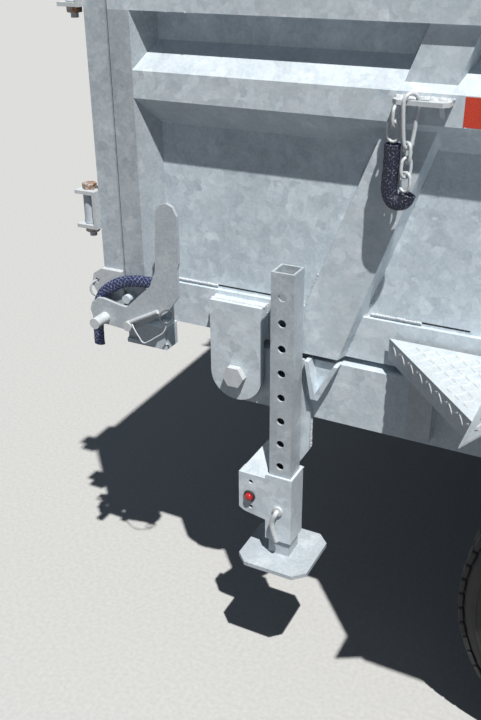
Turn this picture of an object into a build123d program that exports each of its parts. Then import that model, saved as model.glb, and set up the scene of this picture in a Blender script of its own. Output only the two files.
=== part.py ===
"""Galvanised tandem dump trailer, with a tipping box, a spreader gate with barn doors and drop legs.

Units are millimetres. +X is the towing direction, +Y the trailer's left side, +Z up.
The origin is on the ground, on the centreline, at half of the overall length.
Lengths along the trailer are measured forward from the seam plane, where the rear frame meets the box posts.
"""
import math
import os

from build123d import *

os.makedirs("parts", exist_ok=True)

# Overall layout
box_length = 3660
rear_reach = 108
nose_reach = 1330
seam_x = rear_reach - (box_length + rear_reach + nose_reach) / 2
run_gap = 5.0
pin_gap = 0.05

# Load box
box_inside_width = 1776
sheet = 4.0
floor_sheet = 5.0
wall_y = box_inside_width / 2 + sheet
floor_top = 929
sill_height = 100
sill_width = 50
sill_wall = 5.0
sill_proud = 10
sill_y = wall_y + sill_proud
sill_low = floor_top - sill_height
box_top = 1592
floor_beam = 76
floor_beam_wall = 5.0
floor_beam_pitch = 400
floor_beam_x = 98
floor_beam_count = 9
top_rail_height = 102
top_rail_low = box_top - top_rail_height
rail_depth = 51
rail_y = wall_y + rail_depth
mid_rail_z = 1352
mid_face = 54
mid_slope = 54
fold = 4.0

# Corner posts
post_face = 50
post_foot = 82
post_low = sill_low

# Stakes
stake_foot = 117
stake_head = 89
stake_depth = 38
stake_rear_lean = 21.0
stake_flare = 10
stake_y = wall_y + stake_depth
stake_foot_x = 387
stake_pitch = 1040
stake_count = 3

# Rail hooks
hook_x = 645
hook_width = 100
hook_reach = 34
hook_plate = 8
hook_z = 1362
hook_slot_length = 52
hook_slot_width = 12

# Chains on the rail hooks, with their sleeves
ring_length = 100
ring_width = 37
ring_wire = 8
ring_turn = 50
ring_seat = 15.5
link_length = 41
link_width = 26
link_wire = 6.5
link_pitch = 26
link_touch = 0.2
chain_x = 630
chain_y = rail_y + 31.1
sleeve_radius = 13
sleeve_leg_x = 603
sleeve_end_x = 637

# Lanyard sleeve on the lower end of the rear frame
lanyard_radius = 7
lanyard_y = rail_y + 16

# Chassis
side_rail_height = 140
side_rail_width = 50
side_rail_wall = 5.0
side_rail_y = wall_y + 26
side_rail_top = 815
side_rail_low = side_rail_top - side_rail_height
main_rail_height = 152
main_rail_width = 76
main_rail_y = side_rail_y - 173
main_rail_top = side_rail_top
main_rail_low = main_rail_top - main_rail_height

# Wheels and axles
tyre_radius = 388
tyre_width = 225
tyre_outer_y = side_rail_y + 94
rim_radius = 205
wheel_y = tyre_outer_y - tyre_width / 2
rear_axle_x = 1202
axle_pitch = 880
axle_xs = (rear_axle_x, rear_axle_x + axle_pitch)
axle_radius = 38
spindle_radius = 22
hub_radius = 70
side_rail_run = 302

# Tip pivot
pivot_x = 270
pivot_z = side_rail_low + side_rail_height / 2
pivot_bolt_radius = 16
pivot_plate = 12
pivot_plate_half = 62

# Rear frame with its doors
frame_tube = 50.8
frame_wall = 5.0
frame_front_x = -run_gap
frame_rear_x = frame_front_x - frame_tube
frame_low = 860
frame_hinge_z = 1640
frame_hinge_x = frame_front_x - frame_tube / 2
frame_pin_radius = 12
door_gap = run_gap
door_half_gap = 8
door_skin = 4.0
barrel_radius = 16
barrel_height = 66
barrel_set = 28
barrel_y = rail_y - 8
hinge_levels = (1080, 1535)

# Gate latch
gate_pin_x = -38
gate_pin_z = 842
gate_pin_radius = 12.5
gate_pin_tip_y = rail_y + 79
lever_y = rail_y + 28
lever_plate = 8
lock_pin_x = gate_pin_x + 66
lock_pin_z = gate_pin_z - 6
lock_pin_radius = 8
lock_head = 14

# Lock bars on the barn doors
lock_bar_set = 30
keeper_reach = 48
lock_bar_y = 50
lock_bar_radius = 11
lock_bar_in = 12
cam_radius = 18
cam_height = 14
guide_levels = (1000, 1450)
guide_height = 30
guide_wall = 7
handle_z = 1226
handle_length = 210
keeper_plate = 8
keeper_half = 12
bracket_y = rail_y + 7
stop_bar = (gate_pin_x + 50, gate_pin_z + 46)
stop_bar_radius = 10

# Drop legs
leg_x = 403
leg_tube = 50.8
leg_wall = 5.0
sleeve_tube = 63.5
sleeve_wall = 6.0
leg_plate = 12
leg_y = side_rail_y + leg_plate + sleeve_tube / 2
leg_top = 1024
foot_top = 332
foot_plate = 10
foot_size = 170
foot_clip = 26
hole_pitch = 57.15
hole_radius = 9
sleeve_low = 373
sleeve_top = 546
leg_pin_z = 458

# Fender
fender_plate = 4.0
fender_in_y = side_rail_y + 18
fender_y = fender_in_y + 314
fender_step_z = 895
fender_top_z = 985
fender_rear_x = 832
step_lip = 45
step_run = 226
step_out_y = fender_in_y + 228

# Tongue
tongue_rail_height = 127
tongue_rail_width = 50
tongue_top = 760
tongue_low = tongue_top - tongue_rail_height
tongue_tip_x = box_length + 1180
jack_x = box_length + 900
tongue_half_tip = 6
pump_box_rear = box_length + 60
pump_box_front = box_length + 440
pump_box_half = 280
pump_box_height = 340
jack_tube = 64
jack_wall = 5.0
jack_low = 400
jack_high = 1010
jack_fit = 0.3
jack_foot = 12
jack_leg_top = 640
ball_x = box_length + 1270
ball_radius = 29.6
coupler_radius = 60
coupler_z = 690
ram_ear = 10
ram_pin = 20
ram_pin_gap = 0.10
barrel_length = 800

# Chassis details
seat_gap = 0.3
cross_tube = 76
cross_wall = 5.0
cross_xs = (pivot_x, 820, 2500, 3100, box_length - cross_tube / 2)
ram_cross_x = 1166
outrigger_xs = (leg_x, 800, 2484, box_length - cross_tube / 2)
strut = 50
pad_beams = (1, 4, 8)
hole_first = -1
hole_last = 9
skirt_z = 790
skirt_end_z = 762
fender_lip = 20
step_in_y = side_rail_y - 3
step_post = 26
hub_in = 75
hub_out = 66
leaf_thick = 10
spring_reach = 330
spring_rise = 90
eye_z = 548

# Hydraulics
ram_base = (1270, 626)
ram_eye_x = 2270
ram_eye_z = 775
ram_half_spacing = 110
ram_radius = 50
rod_radius = 32


def at(x):
    """Turn a distance forward of the seam plane into a model x."""
    return seam_x + x


def block(x0, x1, y0, y1, z0, z1):
    """Add a box between two corners, with x measured from the seam plane."""
    with Locations((at(min(x0, x1)), min(y0, y1), min(z0, z1))):
        Box(abs(x1 - x0), abs(y1 - y0), abs(z1 - z0), align=(Align.MIN, Align.MIN, Align.MIN))


def bar_y(x, z, radius, y0, y1, mode=Mode.ADD):
    """Add a round bar along Y."""
    with BuildSketch(Plane.XZ.offset(-min(y0, y1))) as outline:
        with Locations((at(x), z)):
            Circle(radius)
    extrude(outline.sketch, amount=abs(y1 - y0), dir=(0, 1, 0), mode=mode)


def bar_z(x, y, radius, z0, z1, mode=Mode.ADD):
    """Add a round bar along Z."""
    with BuildSketch(Plane.XY.offset(z0)) as outline:
        with Locations((at(x), y)):
            Circle(radius)
    extrude(outline.sketch, amount=z1 - z0, dir=(0, 0, 1), mode=mode)


def plate_xz(points, y0, y1, mode=Mode.ADD):
    """Extrude an outline in X and Z across Y, with x measured from the seam plane."""
    with BuildSketch(Plane.XZ.offset(-min(y0, y1))) as outline:
        with BuildLine():
            Polyline(*[(at(x), z) for x, z in points], close=True)
        make_face()
    extrude(outline.sketch, amount=abs(y1 - y0), dir=(0, 1, 0), mode=mode)


def plate_xy(points, z0, z1, mode=Mode.ADD):
    """Extrude an outline in X and Y upwards."""
    with BuildSketch(Plane.XY.offset(z0)) as outline:
        with BuildLine():
            Polyline(*[(at(x), y) for x, y in points], close=True)
        make_face()
    extrude(outline.sketch, amount=z1 - z0, dir=(0, 0, 1), mode=mode)


def profile_x(points, x0, x1, mode=Mode.ADD):
    """Extrude an outline in Y and Z along X."""
    with BuildSketch(Plane.YZ.offset(at(x0))) as outline:
        with BuildLine():
            Polyline(*points, close=True)
        make_face()
    extrude(outline.sketch, amount=x1 - x0, dir=(1, 0, 0), mode=mode)


def tube_x(x0, x1, y, z, width, height, wall):
    """Add a rectangular tube along X, centred on y and z."""
    with BuildSketch(Plane.YZ.offset(at(x0))) as outline:
        with Locations((y, z)):
            Rectangle(width, height)
            Rectangle(width - 2 * wall, height - 2 * wall, mode=Mode.SUBTRACT)
    extrude(outline.sketch, amount=x1 - x0, dir=(1, 0, 0))


def tube_y(x, z, y0, y1, width, height, wall):
    """Add a rectangular tube along Y, centred on x and z."""
    with BuildSketch(Plane.XZ.offset(-y0)) as outline:
        with Locations((at(x), z)):
            Rectangle(width, height)
            Rectangle(width - 2 * wall, height - 2 * wall, mode=Mode.SUBTRACT)
    extrude(outline.sketch, amount=y1 - y0, dir=(0, 1, 0))


def tube_z(x, y, z0, z1, width, depth, wall):
    """Add a rectangular tube along Z, centred on x and y."""
    with BuildSketch(Plane.XY.offset(z0)) as outline:
        with Locations((at(x), y)):
            Rectangle(width, depth)
            Rectangle(width - 2 * wall, depth - 2 * wall, mode=Mode.SUBTRACT)
    extrude(outline.sketch, amount=z1 - z0, dir=(0, 0, 1))


def save(piece, label):
    """Label one piece and write it as its own file."""
    piece.part.label = label
    export_step(piece.part, f"parts/{label}.step")


# Box floor
front_x = box_length
sill_top = floor_top - floor_sheet
with BuildPart() as box_floor:
    block(0, front_x - sheet, -wall_y + sheet, wall_y - sheet, sill_top, floor_top)
save(box_floor, "box_floor")

# Sills and cross members under the floor
with BuildPart() as box_frame:
    tube_x(0, front_x, -sill_y + sill_width / 2, (sill_top + sill_low) / 2, sill_width, sill_top - sill_low, sill_wall)
    mirror(about=Plane.XZ)
    for number in range(floor_beam_count):
        tube_y(floor_beam_x + number * floor_beam_pitch, sill_top - floor_beam / 2,
               -sill_y + sill_width, sill_y - sill_width, floor_beam, floor_beam, floor_beam_wall)
save(box_frame, "box_frame")

# Box walls
with BuildPart() as box_walls:
    block(0, front_x, -wall_y, -wall_y + sheet, sill_top, box_top)
    mirror(about=Plane.XZ)
    block(front_x - sheet, front_x, -wall_y, wall_y, sill_top, box_top)
save(box_walls, "box_walls")

# Top rails along both sides and across the front
with BuildPart() as top_rails:
    tube_x(0, front_x, -rail_y + rail_depth / 2, top_rail_low + top_rail_height / 2,
           rail_depth, top_rail_height, fold)
    mirror(about=Plane.XZ)
    tube_y(front_x + rail_depth / 2, top_rail_low + top_rail_height / 2, -rail_y, rail_y,
           rail_depth, top_rail_height, fold)
save(top_rails, "top_rails")

# Mid rails, folded with a slope above and below the upright face
mid_outer = [
    (-wall_y, mid_rail_z - mid_face / 2 - mid_slope),
    (-rail_y, mid_rail_z - mid_face / 2),
    (-rail_y, mid_rail_z + mid_face / 2),
    (-wall_y, mid_rail_z + mid_face / 2 + mid_slope),
]
slant = fold * math.tan(math.radians(22.5))
mid_inner = [
    (-wall_y, mid_rail_z - mid_face / 2 - mid_slope + fold * math.sqrt(2)),
    (-rail_y + fold, mid_rail_z - mid_face / 2 + slant),
    (-rail_y + fold, mid_rail_z + mid_face / 2 - slant),
    (-wall_y, mid_rail_z + mid_face / 2 + mid_slope - fold * math.sqrt(2)),
]
post_outline = [(0, -wall_y), (0, -rail_y), (post_face, -rail_y), (post_foot, -wall_y)]
with BuildPart() as mid_rails:
    profile_x(mid_outer, post_face, front_x)
    profile_x(mid_inner, post_face, front_x, mode=Mode.SUBTRACT)
    plate_xy(post_outline, post_low, top_rail_low, mode=Mode.SUBTRACT)
    mirror(about=Plane.XZ)
save(mid_rails, "mid_rails")

# Corner posts, folded with a slope down to the wall, standing off the sill below the floor
post_inner = [
    (fold, -wall_y),
    (fold, -rail_y + fold),
    (post_face - fold / 2, -rail_y + fold),
    (post_foot - fold * 1.5, -wall_y),
]
with BuildPart() as corner_posts:
    plate_xy(post_outline, post_low, top_rail_low)
    plate_xy(post_inner, post_low, top_rail_low, mode=Mode.SUBTRACT)
    with Locations((at(0), -wall_y, post_low)):
        Box(2 * post_foot, 2 * sill_proud, 2 * (sill_top - post_low), mode=Mode.SUBTRACT)
    mirror(about=Plane.XZ)
save(corner_posts, "corner_posts")

# Leaning stakes, folded channels that narrow upwards, lap over the sills and meet the mid rails
stake_low = sill_low + 1
stake_rise = top_rail_low - stake_low
stake_shift = math.tan(math.radians(stake_rear_lean)) * stake_rise


def stake_outline(start, spread):
    """Corners of one leaning stake, spread out by an amount along the trailer."""
    return [
        (at(start - spread), stake_low),
        (at(start + stake_foot + spread), stake_low),
        (at(start + stake_shift + stake_head + spread), top_rail_low),
        (at(start + stake_shift - spread), top_rail_low),
    ]


def stake_body(start, out_y, spread_out, spread_in, mode=Mode.ADD):
    """Loft a stake between its outer face and the wall, where its flanges have spread."""
    with BuildSketch(Plane.XZ.offset(out_y)) as outer_face:
        with BuildLine():
            Polyline(*stake_outline(start, spread_out), close=True)
        make_face()
    with BuildSketch(Plane.XZ.offset(wall_y)) as inner_face:
        with BuildLine():
            Polyline(*stake_outline(start, spread_in), close=True)
        make_face()
    loft([outer_face.sketch.face(), inner_face.sketch.face()], mode=mode)


with BuildPart() as stakes:
    for number in range(stake_count):
        start = stake_foot_x + number * stake_pitch
        stake_body(start, stake_y, 0, stake_flare)
        stake_body(start, stake_y - fold, -fold, stake_flare - fold, mode=Mode.SUBTRACT)
    profile_x(mid_outer, 0, front_x, mode=Mode.SUBTRACT)
    profile_x([(-sill_y, sill_low), (-wall_y, sill_low), (-wall_y, sill_top), (-sill_y, sill_top)],
              0, front_x, mode=Mode.SUBTRACT)
    mirror(about=Plane.XZ)
save(stakes, "stakes")

# Pivot plates welded to the sills, with a spacer that clears the chassis
plate_in_y = side_rail_y + run_gap
plate_out_y = plate_in_y + pivot_plate
with BuildPart() as pivot_plates:
    block(pivot_x - pivot_plate_half, pivot_x + pivot_plate_half, -plate_out_y, -plate_in_y,
          pivot_z, floor_top - 15)
    bar_y(pivot_x, pivot_z, pivot_plate_half, -plate_out_y, -plate_in_y)
    block(pivot_x - pivot_plate_half, pivot_x + pivot_plate_half, -plate_in_y, -sill_y,
          sill_low + 6, floor_top - 15)
    bar_y(pivot_x, pivot_z, pivot_bolt_radius + pin_gap, -plate_out_y, -plate_in_y, mode=Mode.SUBTRACT)
    mirror(about=Plane.XZ)
save(pivot_plates, "pivot_plates")

# Slotted hooks on the mid rails, each on a gusset, with a short chain and its sleeve
hook_points = [
    (hook_x - hook_width / 2, -rail_y),
    (hook_x - hook_width / 2, -rail_y - hook_reach + 10),
    (hook_x - hook_width / 2 + 10, -rail_y - hook_reach),
    (hook_x + hook_width / 2 - 10, -rail_y - hook_reach),
    (hook_x + hook_width / 2, -rail_y - hook_reach + 10),
    (hook_x + hook_width / 2, -rail_y),
]
with BuildPart() as rail_hooks:
    plate_xy(hook_points, hook_z, hook_z + hook_plate)
    with BuildSketch(Plane.XY.offset(hook_z)) as hook_slot:
        with Locations((at(hook_x) - 8, -rail_y - hook_reach + 14)):
            SlotOverall(hook_slot_length, hook_slot_width)
    extrude(amount=hook_plate, mode=Mode.SUBTRACT)
    for x in (hook_x - hook_width / 2 + 12, hook_x + hook_width / 2 - 20):
        plate = [(-rail_y, hook_z), (-rail_y - hook_reach + 12, hook_z), (-rail_y, hook_z - 24)]
        profile_x(plate, x, x + 8)
    mirror(about=Plane.XZ)
save(rail_hooks, "rail_hooks")


def upright_ring(x, y, z, length, width, wire, turn):
    """Add a long ring that stands upright in a plane turned about Z from the XZ plane."""
    angle = math.radians(turn)
    across = (math.cos(angle), math.sin(angle), 0)
    normal = (math.sin(angle), -math.cos(angle), 0)
    with BuildSketch(Plane((at(x), y, z), x_dir=across, z_dir=normal)) as outline:
        SlotOverall(length, width, rotation=90)
        SlotOverall(length - 2 * wire, width - 2 * wire, rotation=90, mode=Mode.SUBTRACT)
    extrude(outline.sketch, amount=wire / 2, dir=normal)
    extrude(outline.sketch, amount=-wire / 2, dir=normal)


# Each hook's chain, a ring through the slot with three links, and two links from the plate to the sleeve
ring_top = hook_z + hook_plate + ring_seat
ring_bottom = ring_top - ring_length
first_link = ring_bottom + ring_wire + 2.1 - (link_length / 2 - link_wire)
hung_link = hook_z - link_touch - link_length / 2
with BuildPart() as hook_chains:
    upright_ring(chain_x, -chain_y, ring_top - ring_length / 2, ring_length, ring_width, ring_wire, ring_turn)
    for number in range(3):
        upright_ring(chain_x, -chain_y, first_link - number * link_pitch, link_length, link_width, link_wire,
                     ring_turn - 90 * (1 - number % 2))
    for number in range(2):
        upright_ring(sleeve_leg_x, -chain_y, hung_link - number * link_pitch, link_length, link_width, link_wire,
                     90 * (1 - number))
    mirror(about=Plane.XZ)
save(hook_chains, "hook_chains")

sleeve_high = hung_link - link_pitch - link_length / 2 - link_touch
sleeve_bend_z = first_link - 2 * link_pitch - link_length / 2 - link_touch
sleeve_bend = (sleeve_end_x - sleeve_leg_x) / 2
with BuildPart() as chain_sleeves:
    with BuildLine(Plane((0, -chain_y, 0), x_dir=(1, 0, 0), z_dir=(0, -1, 0))) as sleeve_path:
        Line((at(sleeve_leg_x), sleeve_high), (at(sleeve_leg_x), sleeve_bend_z))
        ThreePointArc((at(sleeve_leg_x), sleeve_bend_z), (at(sleeve_leg_x + sleeve_bend), sleeve_bend_z - sleeve_bend),
                      (at(sleeve_end_x), sleeve_bend_z))
    with BuildSketch(Plane((at(sleeve_leg_x), -chain_y, sleeve_high), z_dir=(0, 0, -1))):
        Circle(sleeve_radius)
    sweep(path=sleeve_path.wire())
    mirror(about=Plane.XZ)
save(chain_sleeves, "chain_sleeves")

# Bracket on each corner post for the gate lever, with a stop bar for the lever's notch
with BuildPart() as latch_brackets:
    block(-2, 103, -bracket_y, -rail_y, 775, 785)
    block(33, 99, -bracket_y, -rail_y, 785, sill_low)
    block(-2, 103, -rail_y, -sill_y, 775, sill_low)
    bar_y(*stop_bar, stop_bar_radius, -lever_y + run_gap, -rail_y)
    mirror(about=Plane.XZ)
save(latch_brackets, "latch_brackets")

# Ears above the corner posts that carry the swinging rear frame
ear = 12
ear_points = [
    (0, box_top),
    (post_face, box_top),
    (post_face, box_top + 30),
    (frame_hinge_x + 10, frame_hinge_z + 24),
    (frame_hinge_x - 22, frame_hinge_z + 10),
    (frame_hinge_x - 22, frame_hinge_z - 14),
    (0, box_top + 12),
]
with BuildPart() as frame_ears:
    for out_y in (rail_y, rail_y - rail_depth + ear):
        plate_xz(ear_points, -out_y, -out_y + ear)
    bar_y(frame_hinge_x, frame_hinge_z, frame_pin_radius, -rail_y - 10, -rail_y + rail_depth + 10)
    mirror(about=Plane.XZ)
save(frame_ears, "frame_ears")

# Rear frame that swings from its top pins
frame_in_y = rail_y - frame_tube
frame_top = top_rail_low + top_rail_height
with BuildPart() as gate_frame:
    tube_z(frame_hinge_x, -rail_y + frame_tube / 2, frame_low, frame_top, frame_tube, frame_tube, frame_wall)
    mirror(about=Plane.XZ)
    tube_y(frame_hinge_x, frame_low + frame_tube / 2, -frame_in_y, frame_in_y, frame_tube, frame_tube, frame_wall)
    tube_y(frame_hinge_x, frame_top - frame_tube / 2, -frame_in_y, frame_in_y, frame_tube, frame_tube, frame_wall)
    for side in (-1, 1):
        near = side * (rail_y - ear - run_gap)
        far = side * (rail_y - rail_depth + ear + run_gap)
        plate_xz([(frame_rear_x + 8, frame_top), (frame_front_x - 2, frame_top), (frame_front_x - 4, frame_hinge_z),
                  (frame_hinge_x + 10, frame_hinge_z + 20), (frame_hinge_x - 10, frame_hinge_z + 20),
                  (frame_rear_x + 4, frame_hinge_z)], near, far)
        bar_y(frame_hinge_x, frame_hinge_z, frame_pin_radius + pin_gap, near, far, mode=Mode.SUBTRACT)
save(gate_frame, "gate_frame")

# Lower ends of the rear frame, with an eye for a lanyard and the round gate pins
with BuildPart() as gate_pins:
    plate_xz([(frame_rear_x - 4, 945), (frame_front_x, 945), (frame_front_x, 818), (-56, 818),
              (frame_rear_x - 4, 860), (frame_rear_x - 32, 905), (frame_rear_x - 26, 930)],
             -rail_y - 8, -rail_y)
    bar_y(frame_rear_x - 16, 915, 6, -rail_y - 8, -rail_y, mode=Mode.SUBTRACT)
    bar_y(gate_pin_x, gate_pin_z, gate_pin_radius, -gate_pin_tip_y, -rail_y)
    mirror(about=Plane.XZ)
save(gate_pins, "gate_pins")

# Sleeved lanyards that hang from the ears and arch over the levers
lanyard_points = [(-75, 759), (-73, 830), (-58, 882), (-19, 913), (28, 932), (92, 938)]
with BuildPart() as gate_lanyards:
    with BuildLine() as lanyard_path:
        Spline(*[(at(x), -lanyard_y, z) for x, z in lanyard_points], tangents=[(0, 0, 1), (1, 0, 0)])
    with BuildSketch(Plane((at(lanyard_points[0][0]), -lanyard_y, lanyard_points[0][1]), z_dir=(0, 0, 1))):
        Circle(lanyard_radius)
    sweep(path=lanyard_path.wire())
    bar_y(*lanyard_points[2], 4, -lanyard_y, -rail_y - 8)
    mirror(about=Plane.XZ)
save(gate_lanyards, "gate_lanyards")

# Hinge brackets on the rear frame, each a bent plate with a bolt through it, and the lock bars' keepers
barrel_x = frame_rear_x - barrel_set
with BuildPart() as hinge_brackets:
    for level in hinge_levels:
        low = level - barrel_height / 2
        high = level + barrel_height / 2
        block(frame_rear_x - 8, frame_rear_x, -barrel_y - 24, -barrel_y + 20, low - 1 - 8, high + 1 + 8)
        for base in (low - 1 - 8, high + 1):
            block(barrel_x - 24, frame_rear_x, -barrel_y - 24, -barrel_y + 24, base, base + 8)
        bar_z(barrel_x, -barrel_y, 8, low - 1 - 8 - 22, high + 1 + 8 + 2)
        bar_z(barrel_x, -barrel_y, 14, high + 1 + 8, high + 1 + 8 + 10)
        bar_z(barrel_x, -barrel_y, 14, low - 1 - 8 - 12, low - 1 - 8)
    for level in (frame_low + frame_tube / 2, frame_top - frame_tube / 2):
        for way in (-1, 1):
            inner_y = -lock_bar_y + way * (cam_radius + run_gap)
            block(frame_rear_x - keeper_reach, frame_rear_x, inner_y, inner_y + way * keeper_plate,
                  level - keeper_half, level + keeper_half)
    mirror(about=Plane.XZ)
save(hinge_brackets, "hinge_brackets")

# Barn doors, each a tube frame with a skin, hung on its barrels
door_low = frame_low + frame_tube + door_gap
door_high = frame_top - frame_tube - door_gap
door_out = frame_in_y - door_gap
door_tube = 40
door_rear_x = frame_front_x - door_skin - door_tube
lock_bar_x = door_rear_x - lock_bar_set
guide_half = lock_bar_radius + guide_wall
for name, side in (("right", -1), ("left", 1)):
    with BuildPart() as door:
        ys = (side * door_out, side * door_half_gap)
        block(frame_front_x - door_skin, frame_front_x, *ys, door_low, door_high)
        middle_x = frame_front_x - door_skin - door_tube / 2
        for z in (door_low + door_tube / 2, (door_low + door_high) / 2, door_high - door_tube / 2):
            tube_y(middle_x, z, min(ys), max(ys), door_tube, door_tube, 4)
        for y in (side * (door_out - door_tube / 2), side * (door_half_gap + door_tube / 2)):
            tube_z(middle_x, y, door_low, door_high, door_tube, door_tube, 4)
        for level in hinge_levels:
            bar_z(barrel_x, side * barrel_y, barrel_radius, level - barrel_height / 2, level + barrel_height / 2)
            near = side * (barrel_y - 8)
            plate_xy([(barrel_x - 10, near), (barrel_x - 10, side * (barrel_y - 130)),
                      (middle_x - door_tube / 2, side * (barrel_y - 130)),
                      (middle_x - door_tube / 2, side * (barrel_y - 56)),
                      (barrel_x + 9, side * (barrel_y - 30)), (barrel_x + 9, near)],
                     level - barrel_height / 2, level)
            bar_z(barrel_x, side * barrel_y, 8 + pin_gap, level - barrel_height, level + barrel_height,
                  mode=Mode.SUBTRACT)
        for level in guide_levels:
            block(lock_bar_x - lock_bar_radius - guide_wall, door_rear_x, side * lock_bar_y - guide_half,
                  side * lock_bar_y + guide_half, level - guide_height / 2, level + guide_height / 2)
            bar_z(lock_bar_x, side * lock_bar_y, lock_bar_radius + pin_gap, level - guide_height, level + guide_height,
                  mode=Mode.SUBTRACT)
        rest_y = side * (lock_bar_y + handle_length - 30)
        block(lock_bar_x - 18, door_rear_x, rest_y - 4, rest_y + 4, handle_z - 26, handle_z - 10 - run_gap)
    save(door, f"door_{name}")
    with BuildPart() as lock_bar:
        bar_z(lock_bar_x, side * lock_bar_y, lock_bar_radius, frame_low + lock_bar_in, frame_top - lock_bar_in)
        for level in (frame_low + frame_tube / 2, frame_top - frame_tube / 2):
            bar_z(lock_bar_x, side * lock_bar_y, cam_radius, level - cam_height / 2, level + cam_height / 2)
        bar_z(lock_bar_x, side * lock_bar_y, lock_bar_radius + 6, handle_z - 16, handle_z + 16)
        block(lock_bar_x - 8, lock_bar_x, side * lock_bar_y, side * (lock_bar_y + handle_length),
              handle_z - 10, handle_z + 10)
    save(lock_bar, f"lock_bar_{name}")

# Latch levers that turn on the gate pins
# Corners of the lever, measured from the gate pin
lever_corners = [
    (9, -18), (64, -22), (98, -4), (165, 42), (194, 82), (194, 144), (198, 159), (198, 261),
    (188, 280), (173, 286), (157, 280), (147, 261), (139, 133), (124, 96), (58, 34), (39, 36),
    (-2, 44), (-19, 43), (-34, 30), (-40, 12), (-34, -6), (-16, -17),
]
lever_points = [(gate_pin_x + x, gate_pin_z + z) for x, z in lever_corners]
for name, side in (("right", -1), ("left", 1)):
    with BuildPart() as lever:
        plate_xz(lever_points, side * lever_y, side * (lever_y + lever_plate))
        bar_y(gate_pin_x, gate_pin_z, gate_pin_radius + pin_gap, side * (lever_y - 1),
              side * (lever_y + lever_plate + 1), mode=Mode.SUBTRACT)
        bar_y(lock_pin_x, lock_pin_z, lock_pin_radius + pin_gap, side * (lever_y - 1),
              side * (lever_y + lever_plate + 1), mode=Mode.SUBTRACT)
    save(lever, f"latch_lever_{name}")
    with BuildPart() as lock_pin:
        bar_y(lock_pin_x, lock_pin_z, lock_pin_radius, side * (bracket_y + run_gap),
              side * (lever_y + lever_plate + lock_head))
        bar_y(lock_pin_x, lock_pin_z, lock_pin_radius + 3, side * (lever_y + lever_plate + 1),
              side * (lever_y + lever_plate + lock_head))
    save(lock_pin, f"lock_pin_{name}")

# Side rails of the chassis behind and ahead of the wheels, rounded about the pivot
side_rail_rear = (pivot_x, rear_axle_x - side_rail_run)
side_rail_front = (axle_xs[1] + side_rail_run, box_length)
with BuildPart() as side_rails:
    tube_x(*side_rail_rear, -side_rail_y + side_rail_width / 2, pivot_z, side_rail_width,
           side_rail_height, side_rail_wall)
    bar_y(pivot_x, pivot_z, side_rail_height / 2, -side_rail_y, -side_rail_y + side_rail_width)
    bar_y(pivot_x, pivot_z, pivot_bolt_radius, -side_rail_y, -side_rail_y + side_rail_width, mode=Mode.SUBTRACT)
    tube_x(*side_rail_front, -side_rail_y + side_rail_width / 2, pivot_z, side_rail_width,
           side_rail_height, side_rail_wall)
    mirror(about=Plane.XZ)
save(side_rails, "side_rails")

# Pivot bolts through the side rails and the pivot plates
with BuildPart() as pivot_bolts:
    bar_y(pivot_x, pivot_z, pivot_bolt_radius, -plate_out_y - 4, -side_rail_y + side_rail_width + 20)
    with BuildSketch(Plane.XZ.offset(plate_out_y + 1)):
        with Locations((at(pivot_x), pivot_z)):
            RegularPolygon(26, 6)
    extrude(amount=16)
    mirror(about=Plane.XZ)
save(pivot_bolts, "pivot_bolts")

# Main rails between the wheels
with BuildPart() as main_rails:
    tube_x(pivot_x - 60, box_length, -main_rail_y + main_rail_width / 2, main_rail_top - main_rail_height / 2,
           main_rail_width, main_rail_height, 6)
    mirror(about=Plane.XZ)
save(main_rails, "main_rails")

# Chassis cross members, with outriggers to the side rails and to the fenders between the wheels
main_in_y = main_rail_y - main_rail_width
mid_axle_x = (axle_xs[0] + axle_xs[1]) / 2
side_rail_in_y = side_rail_y - side_rail_width
with BuildPart() as cross_members:
    for x in outrigger_xs:
        tube_y(x, main_rail_top - cross_tube / 2, -side_rail_in_y, -main_rail_y, cross_tube, cross_tube, cross_wall)
    tube_y(mid_axle_x, main_rail_top - strut / 2, -fender_in_y - 150, -main_rail_y, strut, strut, 4)
    tube_z(mid_axle_x, -fender_in_y - 120, main_rail_top, fender_top_z - fender_plate, strut, strut, 4)
    mirror(about=Plane.XZ)
    for x in cross_xs:
        tube_y(x, main_rail_top - cross_tube / 2, -main_in_y, main_in_y, cross_tube, cross_tube, cross_wall)
    tube_y(ram_cross_x, main_rail_low + cross_tube / 2, -main_in_y, main_in_y, cross_tube, cross_tube, cross_wall)
save(cross_members, "cross_members")

# Rest pads that carry the box on the main rails
with BuildPart() as rest_pads:
    for number in pad_beams:
        x = floor_beam_x + number * floor_beam_pitch
        block(x - 30, x + 30, -main_rail_y + 8, -main_in_y - 8, main_rail_top, sill_top - floor_beam - seat_gap)
    mirror(about=Plane.XZ)
save(rest_pads, "rest_pads")

# Leg sleeves on plates below the side rails, with a lamp guard behind each sleeve
plate_points = [
    (360, side_rail_top),
    (430, side_rail_top),
    (430, 740),
    (447, 690),
    (447, 595),
    (415, 540),
    (415, 470),
    (372, 470),
    (360, 540),
]
sleeve_half = sleeve_tube / 2
guard_points = [
    (305, 536),
    (leg_x - sleeve_half, 536),
    (leg_x - sleeve_half, 423),
    (318, 432),
    (305, 440),
]
lamp = (332, 477)
sleeve_out_y = leg_y + sleeve_half
with BuildPart() as leg_sleeves:
    plate_xz(plate_points, -side_rail_y - leg_plate, -side_rail_y)
    tube_z(leg_x, -leg_y, sleeve_low, sleeve_top, sleeve_tube, sleeve_tube, sleeve_wall)
    bar_y(leg_x, leg_pin_z, hole_radius, -sleeve_out_y, -leg_y, mode=Mode.SUBTRACT)
    mirror(about=Plane.XZ)
save(leg_sleeves, "leg_sleeves")

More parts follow.
